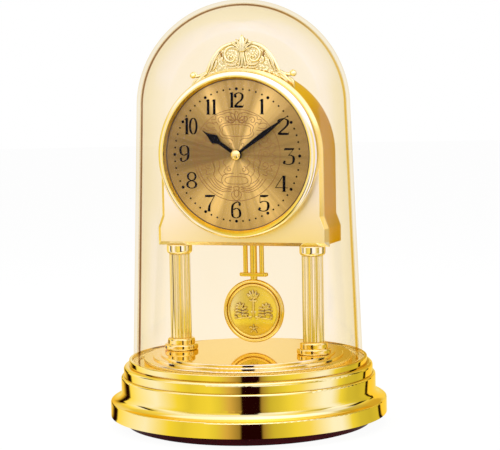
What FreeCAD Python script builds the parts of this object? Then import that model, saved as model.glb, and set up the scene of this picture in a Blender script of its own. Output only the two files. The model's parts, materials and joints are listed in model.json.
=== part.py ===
import FreeCAD, Part
import Sketcher
import math
import os

from types import SimpleNamespace

# Desk pendulum clock under a glass dome, in millimetres.
# The origin is the centre of the round base where it rests, +Z is up and the dial faces -Y.

# Driving sizes: name, value, what it is
SIZES = [
    # Fits shared by all pieces
    ("running_gap", "0.05", "radial clearance of a shaft in its bore"),
    ("seat_gap", "0.3", "clearance of a piece that lifts off its seat"),
    ("overrun", "1", "how far a cutting shape runs past the face it cuts"),
    # Plinth, felt and ballast
    ("felt_inset", "3", "felt disc inside the edge of the plinth"),
    ("felt_thickness", "1", "felt disc"),
    ("plinth_inset", "3", "plinth inside the wall above the cove"),
    ("plinth_floor", "3", "floor thickness of the plinth"),
    ("plinth_wall", "2.4", "side wall of the plinth"),
    ("plinth_flange", "2", "thickness of the flange inside the skirt"),
    ("ballast_gap", "3.8", "ballast ring inside the screw bosses"),
    ("ballast_bore", "28", "bore of the ballast ring, as a diameter"),
    ("ballast_thickness", "9", "iron ballast ring"),
    # Gold base shell, from the skirt up to the rim round the dome
    ("cove_radius", "5.7", "radius of the cove over the skirt"),
    ("skirt_bottom", "6.4", "height of the lower edge of the skirt"),
    ("skirt_height", "9", "height of the skirt"),
    ("skirt_edge", "0.8", "rounding of the upper edge of the skirt"),
    ("neck_step", "1.6", "wall above the cove outside the middle ring"),
    ("neck_height", "14.4", "from the top of the skirt to the ledge above the cove"),
    ("neck_edge", "1.3", "rounding of that ledge"),
    ("middle_step", "3.3", "middle ring outside the rim ring"),
    ("middle_height", "6.1", "height of the middle ring"),
    ("middle_edge", "1.9", "rounding of the middle ring"),
    ("rim_width", "1.6", "ring round the foot of the dome"),
    ("rim_height", "3.8", "height of that ring"),
    ("rim_edge", "0.6", "rounding of that ring"),
    ("rim_gap", "1", "clearance of the dome inside that ring"),
    ("shell_wall", "2.2", "wall of the base shell"),
    ("groove_depth", "2.5", "deck below the top of that ring"),
    ("deck_thickness", "2.4", "deck of the base shell"),
    ("base_boss_radius", "4.2", "screw boss under the deck"),
    ("base_boss_inset", "13", "screw bosses inside the edge of the plinth"),
    ("base_boss_count", "4", "screw bosses"),
    ("base_screw_radius", "1.5", "shank of a base screw"),
    ("base_screw_grip", "14", "length of the shank in its boss"),
    ("base_screw_head", "3", "head radius of a base screw"),
    ("base_screw_head_height", "1.6", "head of a base screw"),
    # Polished floor plate with two low steps
    ("platform_margin", "0.3", "mirror platform outside the columns"),
    ("platform_rise", "2.9", "mirror platform above the rim ring"),
    ("step_width", "4.7", "first step down"),
    ("step_drop", "1", "first step down"),
    ("floor_width", "5.3", "second step down"),
    ("floor_drop", "1.2", "second step down"),
    ("floor_edge", "0.6", "rounding of the steps"),
    ("floor_wall", "1.6", "wall of the floor plate"),
    # Glass dome and its seal
    ("seal_thickness", "0.8", "felt seal that the dome stands on"),
    ("seal_width", "3.2", "felt seal"),
    ("dome_taper", "5.4", "how much wider the dome is at its foot than at its round top"),
    ("dome_side_gap", "9.8", "outside of the dome beside the foot of the case"),
    ("dome_headroom", "20.6", "top of the dome above the tip of the crest"),
    ("dome_wall", "2", "glass thickness"),
    # Columns
    ("column_inset", "11.5", "column axes inside the foot of the case"),
    ("tier_radius", "10.2", "lower tier of a column base"),
    ("tier_height", "3.6", "lower tier of a column base"),
    ("tier_edge", "1.1", "rounding of the lower tier"),
    ("collar_radius", "8.3", "upper tier of a column base"),
    ("collar_height", "3.5", "upper tier of a column base"),
    ("collar_edge", "1.2", "rounding of the upper tier"),
    ("shaft_radius", "6.35", "fluted shaft"),
    ("flute_radius", "0.85", "one flute"),
    ("flute_depth", "0.6", "one flute"),
    ("flute_count", "18", "flutes round the shaft"),
    ("shaft_length", "50.9", "fluted shaft"),
    ("capital_radius", "7.75", "capital"),
    ("capital_round", "2.2", "rounding under the capital"),
    ("capital_edge", "0.5", "rounding on top of the capital"),
    ("spigot_margin", "0.1", "spigot between the capital and the case, outside the tie rod nut"),
    ("spigot_gap", "0.1", "clearance of that spigot behind the front plate"),
    ("rod_radius", "1.25", "tie rod through each column"),
    ("rod_gap", "0.2", "clearance round a tie rod"),
    ("rod_nut_flats", "5", "tie rod nut across its flats"),
    ("rod_nut_height", "2.4", "tie rod nut"),
    ("rod_end", "1.2", "tie rod beyond its nut"),
    # Case
    ("dial_margin", "4.8", "bezel above the lower edge of the front"),
    ("capital_height", "5.7", "capital"),
    ("case_lip", "1.2", "front plate below the case body"),
    ("foot_height", "10.7", "wide foot of the front plate"),
    ("flare_height", "7.2", "flare between the foot and the walls"),
    ("foot_width", "2.7", "foot of the case outside its walls"),
    ("front_border", "1.4", "walls and arch outside the bezel"),
    ("case_face", "8.7", "front face in front of the middle"),
    ("front_thickness", "4", "front plate"),
    ("front_bevel", "2.3", "bevel round the front plate"),
    ("body_step", "0.6", "step from the front plate to the body"),
    ("case_behind", "6.2", "rear edge of the body behind the pendulum's plane"),
    ("case_wall", "2.2", "wall of the case body"),
    ("case_floor", "2.4", "floor of the case body"),
    ("slot_margin", "2.95", "room beside the swung rods in the case floor's slot"),
    ("slot_half_depth", "4.6", "half depth of the pendulum slot"),
    ("back_thickness", "2", "rear panel"),
    ("window_margin", "0.5", "window in the rear panel outside the movement"),
    ("window_drop", "10.3", "lower edge of the window below the dial's centre"),
    ("window_headroom", "0.7", "upper edge of the window above the movement"),
    ("door_lap", "2.5", "how far the rear lid covers the panel"),
    ("door_thickness", "1.6", "rear lid"),
    ("door_plug", "1.8", "how deep the rear lid's rim reaches into the window"),
    ("door_rim", "1.4", "rim of the rear lid"),
    ("door_corner", "3", "corner radius of the rear lid"),
    ("case_boss_radius", "3", "screw boss in the case"),
    ("case_boss_depth", "10", "length of a case screw boss"),
    ("case_boss_angle", "25", "degrees above the dial's centre of the upper bosses"),
    ("case_boss_rise", "6", "lower bosses above the underside of the case body"),
    ("case_screw_radius", "1.2", "shank of a case screw"),
    ("case_screw_head", "2.6", "head radius of a case screw"),
    ("case_screw_head_height", "1.4", "head of a case screw"),
    # Crest on top of the arch
    ("crest_back", "-1.1", "rear face of the crest in front of the middle"),
    ("crest_thickness", "3.6", "crest plate"),
    ("crest_tip", "70.4", "tip of the crest above the dial's centre"),
    ("crest_lobe_radius", "23.7", "round shoulders of the crest"),
    ("crest_lobe_height", "43.4", "centre of the shoulders above the dial's centre"),
    ("crest_neck", "2.2", "half width of the finial's neck"),
    ("crest_foot_angle", "50", "degrees at which the crest ends on the arch"),
    ("crest_leaf_height", "3", "height of the end leaves over the arch"),
    ("crest_knob_radius", "2.2", "scroll knob at each end"),
    ("crest_knob_angle", "56.6", "degrees at which the knobs sit"),
    ("crest_knob_height", "5.6", "knob centre above the arch"),
    ("crest_scroll_radius", "5.4", "C-scroll each side of the middle"),
    ("crest_scroll_wire", "0.8", "half thickness of a C-scroll"),
    ("crest_scroll_offset", "8.2", "C-scroll centre beside the middle"),
    ("crest_scroll_height", "57.2", "C-scroll centre above the dial's centre"),
    # Bezel and dial
    ("bezel_radius", "49.2", "outer radius of the bezel"),
    ("bezel_depth", "7.7", "front of the bezel before the front plate"),
    ("bezel_round", "2.9", "rounding of the bezel's outer edge"),
    ("bezel_land", "0.8", "flat land on the bezel's front"),
    ("bezel_lip", "0.6", "upright edge of the bezel at the dial"),
    ("spigot_wall", "1.6", "bezel spigot that enters the case"),
    ("spigot_depth", "3.5", "bezel spigot behind the front face"),
    ("dial_lap", "1.5", "edge of the dial hidden by the bezel"),
    ("dial_inset", "3.2", "dial disc inside the bezel's outer radius"),
    ("dial_recess", "3.2", "dial face behind the front of the bezel"),
    ("dial_thickness", "0.5", "dial disc"),
    ("dial_hole", "3", "hole in the middle of the dial"),
    ("backing_thickness", "3", "plate behind the dial"),
    ("retainer_width", "1.8", "snap ring behind that plate"),
    ("retainer_thickness", "1", "snap ring behind that plate"),
    # Hands
    ("hand_thickness", "0.5", "both hands"),
    ("hub_radius", "3", "round hub of both hands"),
    ("hour_hand_length", "25.6", "hour hand"),
    ("hour_hand_stem", "1.05", "half width of the hour hand's stem"),
    ("hour_hand_spade", "2.9", "half width of the hour hand's spade"),
    ("hour_hand_forward", "0.9", "hour hand in front of the dial"),
    ("minute_hand_length", "39.2", "minute hand"),
    ("minute_hand_stem", "0.65", "half width of the minute hand at its hub"),
    ("minute_hand_leaf", "1.5", "half width of the minute hand's leaf"),
    ("hand_spacing", "0.8", "between the two hands"),
    ("minute_hand_angle", "55.2", "degrees past twelve at rest"),
    ("hour_hand_angle", "304.6", "degrees past twelve at rest"),
    ("cap_radius", "3.05", "round cap on the hands"),
    ("cap_height", "2.3", "round cap on the hands"),
    ("cap_edge", "0.7", "straight edge of the round cap"),
    # Movement housing
    ("housing_bottom", "15.3", "bottom of the housing under the dial's centre"),
    ("housing_wall", "1.4", "housing walls"),
    ("housing_front_skin", "1", "front skin of the housing"),
    ("housing_split_depth", "9", "depth of the housing's front half"),
    ("housing_depth", "19.5", "both halves of the housing together"),
    ("coil_bay_half_width", "16", "half width of the coil bay under the housing"),
    ("coil_bay_bottom", "41.3", "bottom of the coil bay under the dial's centre"),
    ("bush_radius", "4", "threaded bush"),
    ("bush_reach", "2.8", "threaded bush in front of the housing"),
    ("nut_recess_radius", "7", "recess for the mounting nut"),
    ("nut_recess_depth", "2.2", "recess for the mounting nut"),
    ("washer_radius", "6.4", "washer under the mounting nut"),
    ("washer_thickness", "0.5", "washer under the mounting nut"),
    ("nut_flats", "10", "mounting nut across its flats"),
    ("nut_thickness", "1.5", "mounting nut"),
    ("post_radius", "1.4", "posts that carry the train bridge"),
    ("post_inset", "3.2", "posts inside the housing's outer faces"),
    ("post_top", "12.4", "upper posts above the dial's centre"),
    ("bridge_thickness", "1", "train bridge"),
    ("bridge_gap", "2.3", "between the fourth wheel and the train bridge"),
    # Wheels of the movement
    ("motion_module", "0.4", "module of the cannon pinion and the transfer wheel"),
    ("train_module", "0.35", "module of the going train"),
    ("cannon_teeth", "12", "cannon pinion"),
    ("transfer_teeth", "36", "transfer wheel"),
    ("transfer_pinion_teeth", "10", "transfer pinion"),
    ("hour_teeth", "40", "hour wheel"),
    ("knob_teeth", "12", "setting pinion"),
    ("centre_teeth", "64", "centre wheel"),
    ("third_pinion_teeth", "8", "third pinion"),
    ("third_teeth", "60", "third wheel"),
    ("fourth_pinion_teeth", "8", "fourth pinion"),
    ("fourth_teeth", "18", "fourth wheel"),
    ("wheel_thickness", "1", "all wheels"),
    ("motion_thickness", "1.2", "wheels behind the hands"),
    ("layer_gap", "0.6", "between the layers of wheels"),
    ("arbor_radius", "0.5", "thin arbors"),
    ("minute_arbor_radius", "1.45", "arbor of the minute hand"),
    ("minute_pivot_radius", "0.7", "rear pivot of that arbor"),
    ("hour_pipe_radius", "2.5", "pipe of the hour hand"),
    ("fourth_angle", "45", "degrees at which the fourth wheel lies from the third"),
    ("stud_radius", "0.6", "stud of the transfer wheel"),
    ("knob_shaft_radius", "1.2", "shaft of the setting knob"),
    ("knob_radius", "5.5", "setting knob"),
    ("knob_length", "4.4", "setting knob"),
    ("knob_grooves", "16", "grips round the setting knob"),
    ("knob_groove_radius", "0.5", "one grip groove"),
    # Electrical pieces
    ("battery_radius", "7.1", "battery"),
    ("battery_length", "49", "battery without its button"),
    ("battery_button_radius", "2.7", "battery button"),
    ("battery_button_length", "1.2", "battery button"),
    ("battery_gap", "0.2", "clearance round the battery"),
    ("trough_gap", "1.4", "battery trough above the upper posts"),
    ("trough_end", "0.3", "ends of the trough inside the housing"),
    ("trough_wall", "0.8", "walls of the battery trough"),
    ("contact_thickness", "0.4", "battery contact"),
    ("contact_half_width", "4.5", "battery contact"),
    ("board_thickness", "0.8", "circuit board"),
    ("board_width", "19", "circuit board"),
    ("board_height", "8", "circuit board"),
    ("board_left", "23", "left edge of the board beside the dial's centre"),
    ("board_bottom", "4.4", "lower edge of the board above the dial's centre"),
    ("chip_radius", "2.4", "sealed chip on the board"),
    ("chip_height", "0.9", "sealed chip on the board"),
    ("stator_width", "19", "motor stator"),
    ("stator_height", "6.6", "motor stator"),
    ("stator_left", "4", "left edge of the stator beside the dial's centre"),
    ("stator_bottom", "13.2", "lower edge of the stator under the dial's centre"),
    ("motor_coil_radius", "1.5", "motor coil"),
    ("motor_coil_length", "12", "motor coil"),
    ("coil_flange", "0.8", "flange at each end of the motor coil"),
    ("coil_core_share", "0.7", "winding radius as a share of the flange radius"),
    ("drive_coil_radius", "5", "pendulum coil"),
    ("drive_coil_bore", "1.4", "pendulum coil"),
    ("drive_coil_thickness", "3", "pendulum coil"),
    # Pendulum
    ("pendulum_gap", "1.5", "hanger behind the movement housing"),
    ("pivot_rise", "7.7", "pendulum pivot above the dial's centre"),
    ("pivot_radius", "1", "pivot pin"),
    ("pivot_head_radius", "2.2", "head of the pivot pin"),
    ("pivot_head_length", "0.8", "head of the pivot pin"),
    ("pivot_boss_radius", "2.8", "boss round the pivot pin"),
    ("hanger_thickness", "4", "pendulum hanger"),
    ("hanger_side_gap", "0.3", "play of the hanger along its pin"),
    ("hanger_eye_radius", "3.4", "eye of the hanger"),
    ("hanger_half_width", "2.4", "arm of the hanger"),
    ("magnet_rise", "7", "magnet and drive coil above the underside of the coil bay"),
    ("magnet_radius", "3", "pendulum magnet"),
    ("magnet_thickness", "1", "pendulum magnet"),
    ("yoke_drop", "6", "top of the yoke below the magnet"),
    ("yoke_height", "3", "yoke that carries the rods"),
    ("yoke_half_width", "8", "yoke that carries the rods"),
    ("yoke_half_depth", "2.2", "yoke that carries the rods"),
    ("side_rod_radius", "1.45", "side rod"),
    ("side_rod_offset", "5.15", "side rod beside the middle"),
    ("centre_rod_radius", "2.15", "middle rod"),
    ("crossbar_gap", "2.2", "crossbar above the bob"),
    ("crossbar_height", "2.3", "crossbar"),
    ("crossbar_half_width", "9", "crossbar"),
    ("crossbar_half_depth", "2.7", "crossbar"),
    ("crossbar_edge", "0.8", "rounding of the crossbar"),
    ("bob_clearance", "3.7", "bob above the mirror platform"),
    ("bob_radius", "18.7", "bob"),
    ("bob_half_thickness", "2.9", "bob"),
    ("bob_groove", "0.5", "groove between the bob's two rims, to each side"),
    ("rim_round", "1.6", "rounding of the bob's rims"),
    ("rim_step", "2.2", "first step of the bob's rims"),
    ("medallion_radius", "14.9", "visible radius of the medallion"),
    ("medallion_depth", "1.1", "medallion behind the front of its rim"),
    ("medallion_thickness", "0.6", "medallion"),
    ("medallion_dome", "0.5", "swell of the medallion"),
    ("medallion_lap", "1", "medallion under its rim"),
    # Travel that the clearances allow for
    ("pendulum_swing", "6", "degrees to each side"),
]

doc = FreeCAD.newDocument("desk_pendulum_clock")
sheet = doc.addObject("Spreadsheet::Sheet", "Sizes")
for row, (alias, value, meaning) in enumerate(SIZES, 1):
    sheet.set("A%d" % row, meaning)
    sheet.set("B%d" % row, value)
    sheet.setAlias("B%d" % row, alias)
doc.recompute()


class Size:
    """A length with its present value and the sheet expression that it follows."""

    def __init__(self, value, text):
        self.value = float(value)
        self.text = text

    def __add__(self, other):
        other = as_size(other)
        return Size(self.value + other.value, "(%s + %s)" % (self.text, other.text))

    def __radd__(self, other):
        return as_size(other) + self

    def __sub__(self, other):
        other = as_size(other)
        return Size(self.value - other.value, "(%s - %s)" % (self.text, other.text))

    def __rsub__(self, other):
        return as_size(other) - self

    def __mul__(self, other):
        other = as_size(other)
        return Size(self.value * other.value, "(%s * %s)" % (self.text, other.text))

    def __rmul__(self, other):
        return as_size(other) * self

    def __truediv__(self, other):
        other = as_size(other)
        return Size(self.value / other.value, "(%s / %s)" % (self.text, other.text))

    def __neg__(self):
        return Size(-self.value, "(0 - %s)" % self.text)


def as_size(number):
    return number if isinstance(number, Size) else Size(number, repr(float(number)))


def value_of(size):
    return size.value if isinstance(size, Size) else float(size)


def cos(angle):
    angle = as_size(angle)
    return Size(math.cos(math.radians(angle.value)), "cos(%s * 1 deg)" % angle.text)


def sin(angle):
    angle = as_size(angle)
    return Size(math.sin(math.radians(angle.value)), "sin(%s * 1 deg)" % angle.text)


def root(number):
    return Size(math.sqrt(number.value), "sqrt(%s)" % number.text)


s = SimpleNamespace(**{alias: Size(sheet.get(alias), "Sizes." + alias) for alias, value, meaning in SIZES})

# Sizes worked out from the driving ones: from the dial outwards to the base, then upwards
s.dial_radius = s.bezel_radius - s.dial_inset
s.dial_opening = s.dial_radius - s.dial_lap
s.case_half_width = s.bezel_radius + s.front_border
s.foot_half_width = s.case_half_width + s.foot_width
s.dome_top_radius = s.foot_half_width + s.dome_side_gap
s.dome_foot_radius = s.dome_top_radius + s.dome_taper
s.rim_bore = s.dome_foot_radius + s.rim_gap
s.rim_radius = s.rim_bore + s.rim_width
s.middle_radius = s.rim_radius + s.middle_step
s.neck_radius = s.middle_radius + s.neck_step
s.skirt_radius = s.neck_radius + s.cove_radius + s.skirt_edge
s.plinth_radius = s.neck_radius - s.plinth_inset
s.felt_radius = s.plinth_radius - s.felt_inset
s.base_boss_circle = s.plinth_radius - s.base_boss_inset
s.ballast_radius = s.base_boss_circle - s.base_boss_radius - s.ballast_gap
s.column_x = s.foot_half_width - s.column_inset
s.platform_radius = s.column_x + s.tier_radius + s.platform_margin
s.step_radius = s.platform_radius + s.step_width
s.floor_radius = s.step_radius + s.floor_width

s.skirt_top = s.skirt_bottom + s.skirt_height
s.neck_top = s.skirt_top + s.neck_height
s.middle_top = s.neck_top + s.middle_height
s.rim_top = s.middle_top + s.rim_height
s.deck_height = s.rim_top - s.groove_depth
s.platform_top = s.rim_top + s.platform_rise
s.step_top = s.platform_top - s.step_drop
s.floor_top = s.step_top - s.floor_drop
s.collar_bottom = s.platform_top + s.tier_height
s.shaft_bottom = s.collar_bottom + s.collar_height
s.capital_bottom = s.shaft_bottom + s.shaft_length
s.case_front_bottom = s.capital_bottom + s.capital_height
s.case_bottom = s.case_front_bottom + s.case_lip
s.foot_top = s.case_front_bottom + s.foot_height
s.shoulder_bottom = s.foot_top + s.flare_height
s.dial_height = s.case_front_bottom + s.dial_margin + s.bezel_radius
s.dome_height = s.dial_height + s.crest_tip + s.dome_headroom

# Depths, counted forwards from the middle
s.bezel_front = s.case_face + s.bezel_depth
s.dial_face = s.bezel_front - s.dial_recess
s.housing_front = s.dial_face - s.dial_thickness - s.backing_thickness
s.housing_split = s.housing_front - s.housing_split_depth
s.housing_back = s.housing_depth - s.housing_front
s.pendulum_behind = s.housing_back + s.pendulum_gap + s.hanger_thickness / 2
s.body_back = s.pendulum_behind + s.case_behind
s.spigot_radius = s.rod_nut_flats / 2 + s.spigot_margin
s.column_forward = s.case_face - s.front_thickness - s.spigot_radius - s.spigot_gap

# Movement and pendulum
s.battery_end = (s.battery_length + s.battery_button_length) / 2 + s.contact_thickness
s.housing_half_width = s.battery_end + s.trough_wall + s.trough_end + s.housing_wall
s.battery_rise = (s.post_top + s.post_radius + s.trough_gap + s.trough_wall + s.battery_gap
                  + s.battery_radius)
s.housing_top = s.battery_rise + s.battery_radius + s.battery_gap * 2 + s.trough_wall + s.housing_wall
s.window_half_width = s.housing_half_width + s.window_margin
s.pivot_height = s.dial_height + s.pivot_rise
s.slot_half_width = (s.side_rod_offset + s.side_rod_radius + s.slot_margin
                     + (s.pivot_height - s.case_bottom) * sin(s.pendulum_swing))
s.magnet_height = s.dial_height - s.coil_bay_bottom + s.magnet_rise
s.yoke_top = s.magnet_height - s.yoke_drop
s.bob_height = s.platform_top + s.bob_clearance + s.bob_radius
s.crossbar_bottom = s.bob_height + s.bob_radius + s.crossbar_gap
s.crossbar_top = s.crossbar_bottom + s.crossbar_height

PARTS = []


def keep(label, thing):
    """Give a finished piece its name and put it on the list of files."""
    thing.Label = label
    PARTS.append((label, thing))
    return thing


def bind(thing, name, size):
    """Set a property and tie it to the sheet."""
    if "." not in name:
        setattr(thing, name, value_of(size))
    if isinstance(size, Size):
        thing.setExpression(name, size.text)


def move(thing, x=0, y=0, z=0, axis=None, angle=0):
    """Place a thing at bound coordinates, turned about one axis."""
    turn = FreeCAD.Rotation(FreeCAD.Vector(*axis), angle) if axis else FreeCAD.Rotation()
    thing.Placement = FreeCAD.Placement(FreeCAD.Vector(value_of(x), value_of(y), value_of(z)), turn)
    for letter, size in zip("xyz", (x, y, z)):
        if isinstance(size, Size):
            thing.setExpression("Placement.Base." + letter, size.text)
    return thing


def face_front(thing):
    """Stand a piece on the dial's axis: its x is right, its y is up and its z is forward."""
    return move(thing, z=s.dial_height, axis=(1, 0, 0), angle=90)


# Sketches: an outline is a list of corners, and Arc takes the outline round a centre
class Arc:
    def __init__(self, x, y, centre_x, centre_y):
        self.end = (x, y)
        self.centre = (centre_x, centre_y)


def pin_point(sketch, item, spot, axis, size):
    """Hold one coordinate of a point of the sketch."""
    if isinstance(size, Size):
        rule = Sketcher.Constraint("Distance" + axis, -1, 1, item, spot, size.value)
        sketch.setExpression("Constraints[%d]" % sketch.addConstraint(rule), size.text)
    else:
        line = -2 if axis == "X" else -1
        sketch.addConstraint(Sketcher.Constraint("PointOnObject", item, spot, line))


def draw_outline(sketch, outline):
    """Draw a closed outline, each corner held by its own two sizes."""
    ends = [corner.end if isinstance(corner, Arc) else corner for corner in outline]
    flat = [FreeCAD.Vector(value_of(x), value_of(y), 0) for x, y in ends]
    up = FreeCAD.Vector(0, 0, 1)
    drawn = []
    for index, corner in enumerate(outline):
        start, end = flat[index - 1], flat[index]
        if not isinstance(corner, Arc):
            item = sketch.addGeometry(Part.LineSegment(start, end))
            drawn.append((item, 1, 2))
            continue
        middle = FreeCAD.Vector(value_of(corner.centre[0]), value_of(corner.centre[1]), 0)
        first = math.atan2(start.y - middle.y, start.x - middle.x)
        last = math.atan2(end.y - middle.y, end.x - middle.x)
        turn = (last - first + math.pi) % (2 * math.pi) - math.pi
        circle = Part.Circle(middle, up, (start - middle).Length)
        if turn >= 0:
            item = sketch.addGeometry(Part.ArcOfCircle(circle, first, first + turn))
            drawn.append((item, 1, 2))
        else:
            item = sketch.addGeometry(Part.ArcOfCircle(circle, last, last - turn))
            drawn.append((item, 2, 1))
    for index, (item, start, end) in enumerate(drawn):
        following = drawn[(index + 1) % len(drawn)]
        sketch.addConstraint(Sketcher.Constraint("Coincident", item, end, following[0], following[1]))
    for index, (item, start, end) in enumerate(drawn):
        corner = outline[index]
        if isinstance(corner, Arc):
            pin_point(sketch, item, 3, "X", corner.centre[0])
            pin_point(sketch, item, 3, "Y", corner.centre[1])
            spoke_x = flat[index].x - value_of(corner.centre[0])
            spoke_y = flat[index].y - value_of(corner.centre[1])
            if abs(spoke_y) > abs(spoke_x):
                pin_point(sketch, item, end, "X", corner.end[0])
            else:
                pin_point(sketch, item, end, "Y", corner.end[1])
        else:
            pin_point(sketch, item, end, "X", corner[0])
            pin_point(sketch, item, end, "Y", corner[1])


def draw_circle(sketch, x, y, radius):
    middle = FreeCAD.Vector(value_of(x), value_of(y), 0)
    item = sketch.addGeometry(Part.Circle(middle, FreeCAD.Vector(0, 0, 1), value_of(radius)))
    pin_point(sketch, item, 3, "X", x)
    pin_point(sketch, item, 3, "Y", y)
    rule = sketch.addConstraint(Sketcher.Constraint("Radius", item, value_of(radius)))
    sketch.setExpression("Constraints[%d]" % rule, radius.text)


def new_sketch(body, role, name, offset=None):
    """Start a sketch on one of the body's own planes, raised by a bound offset."""
    plane = [item for item in body.Origin.OriginFeatures if item.Role == role][0]
    sketch = body.newObject("Sketcher::SketchObject", name)
    sketch.AttachmentSupport = (plane, [""])
    sketch.MapMode = "FlatFace"
    if offset is not None:
        lift = FreeCAD.Vector(0, 0, value_of(offset))
        sketch.AttachmentOffset = FreeCAD.Placement(lift, FreeCAD.Rotation())
        sketch.setExpression("AttachmentOffset.Base.z", as_size(offset).text)
    return sketch


def new_body(name):
    return doc.addObject("PartDesign::Body", name)


def turned(name, outline):
    """A body of revolution: the outline's x is the radius and its y the height."""
    body = new_body(name)
    sketch = new_sketch(body, "XZ_Plane", name + "_outline")
    draw_outline(sketch, outline)
    turn = body.newObject("PartDesign::Revolution", name + "_turn")
    turn.Profile = sketch
    turn.ReferenceAxis = (sketch, ["V_Axis"])
    turn.Angle = 360
    return body


def add_pad(body, name, outline, low, high, holes=()):
    """Raise an outline, or a circle given as (x, y, radius), between two heights of the body."""
    sketch = new_sketch(body, "XY_Plane", name + "_outline", low)
    if isinstance(outline, tuple):
        draw_circle(sketch, *outline)
    else:
        draw_outline(sketch, outline)
    for hole in holes:
        draw_circle(sketch, *hole)
    feature = body.newObject("PartDesign::Pad", name + "_pad")
    feature.Profile = sketch
    bind(feature, "Length", high - low)
    return feature


def add_pocket(body, name, outline, low, high):
    """Cut an outline or a circle between two heights, and check that it cut something."""
    doc.recompute()
    before = body.Shape.Volume
    sketch = new_sketch(body, "XY_Plane", name + "_outline", low)
    if isinstance(outline, tuple):
        draw_circle(sketch, *outline)
    else:
        draw_outline(sketch, outline)
    feature = body.newObject("PartDesign::Pocket", name + "_pocket")
    feature.Profile = sketch
    bind(feature, "Length", high - low)
    feature.Reversed = True
    doc.recompute()
    if body.Shape.Volume >= before:
        raise RuntimeError(name + " cuts nothing")
    return feature


def rectangle(left, right, bottom, top):
    return [(left, bottom), (right, bottom), (right, top), (left, top)]


def cylinder(name, radius, low, high, x=0, y=0):
    """An upright cylinder between two heights."""
    thing = doc.addObject("Part::Cylinder", name)
    bind(thing, "Radius", radius)
    bind(thing, "Height", high - low)
    return move(thing, x, y, low)


def lying_cylinder(name, radius, left, right, y, z):
    """A cylinder along x between two places."""
    thing = doc.addObject("Part::Cylinder", name)
    bind(thing, "Radius", radius)
    bind(thing, "Height", right - left)
    return move(thing, left, y, z, axis=(0, 1, 0), angle=90)


def block(name, left, right, near, far, low, high):
    thing = doc.addObject("Part::Box", name)
    bind(thing, "Length", right - left)
    bind(thing, "Width", far - near)
    bind(thing, "Height", high - low)
    return move(thing, left, near, low)


def fuse(name, pieces):
    thing = doc.addObject("Part::MultiFuse", name)
    thing.Shapes = pieces
    thing.Refine = True
    return thing


def cut(name, base, tools):
    """Take the tools from the base, and check that each one reaches it."""
    doc.recompute()
    for tool in tools:
        if base.Shape.common(tool.Shape).Volume <= 0:
            raise RuntimeError("%s: %s cuts nothing" % (name, tool.Name))
    thing = doc.addObject("Part::Cut", name)
    thing.Base = base
    thing.Tool = tools[0] if len(tools) == 1 else fuse(name + "_tools", tools)
    thing.Refine = True
    return thing


def group(name, pieces):
    thing = doc.addObject("Part::Compound", name)
    thing.Links = pieces
    return thing


def hexagon(flats):
    """Six corners of a nut, with flats above and below."""
    half = flats / 2
    reach = half / cos(30)
    return [(reach, 0), (reach / 2, half), (-reach / 2, half),
            (-reach, 0), (-reach / 2, -half), (reach / 2, -half)]


def ring_places(count, radius, start):
    """Places evenly spread on a circle, the first one at the start angle."""
    step = 360 / count.value
    angles = [start + index * step for index in range(int(count.value))]
    return [(radius * cos(angle), radius * sin(angle)) for angle in angles]


# Heights and places that several pieces share
plinth_top = s.felt_thickness + s.plinth_floor
deck_under = s.deck_height - s.deck_thickness
seal_top = s.deck_height + s.seal_thickness
dome_bottom = seal_top + s.seat_gap
dome_centre = s.dome_height - s.dome_top_radius
rod_bore = s.rod_radius + s.rod_gap
case_floor_top = s.case_bottom + s.case_floor
SIDES = (("left", -1), ("right", 1))


# Base
def make_felt():
    disc = cylinder("felt_disc", s.felt_radius, as_size(0), s.felt_thickness)
    holes = [cylinder("felt_hole", s.base_screw_head + s.seat_gap, -s.overrun,
                      s.felt_thickness + s.overrun, x, y)
             for x, y in ring_places(s.base_boss_count, s.base_boss_circle, 45)]
    keep("base_felt", cut("base_felt", disc, holes))


def make_plinth():
    """Shallow tray with a flange that carries the gold shell."""
    flange_radius = s.skirt_radius - s.shell_wall - s.seat_gap
    flange_bottom = s.skirt_bottom + s.seat_gap
    flange_top = flange_bottom + s.plinth_flange
    tray = turned("plinth_tray", [
        (0, s.felt_thickness),
        (s.plinth_radius, s.felt_thickness),
        (s.plinth_radius, flange_bottom),
        (flange_radius, flange_bottom),
        (flange_radius, flange_top),
        (s.plinth_radius - s.plinth_wall, flange_top),
        (s.plinth_radius - s.plinth_wall, plinth_top),
        (0, plinth_top)])
    tools = []
    for x, y in ring_places(s.base_boss_count, s.base_boss_circle, 45):
        tools.append(cylinder("plinth_hole", s.base_screw_radius + s.rod_gap,
                              s.felt_thickness - s.overrun, plinth_top + s.overrun, x, y))
        tools.append(cylinder("plinth_recess", s.base_screw_head + s.seat_gap, s.felt_thickness - s.overrun,
                              s.felt_thickness + s.base_screw_head_height, x, y))
    keep("base_plinth", cut("base_plinth", tray, tools))


def make_ballast():
    ring = cylinder("ballast_disc", s.ballast_radius, plinth_top, plinth_top + s.ballast_thickness)
    bore = cylinder("ballast_hole", s.ballast_bore / 2, plinth_top - s.overrun,
                    plinth_top + s.ballast_thickness + s.overrun)
    keep("base_ballast", cut("base_ballast", ring, [bore]))


def make_base_screws():
    seat = s.felt_thickness + s.base_screw_head_height
    screws = []
    for x, y in ring_places(s.base_boss_count, s.base_boss_circle, 45):
        head = cylinder("base_screw_head", s.base_screw_head, s.felt_thickness, seat, x, y)
        shank = cylinder("base_screw_shank", s.base_screw_radius, seat,
                         plinth_top + s.base_screw_grip, x, y)
        screws.append(fuse("base_screw", [head, shank]))
    keep("base_screws", group("base_screws", screws))


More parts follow.
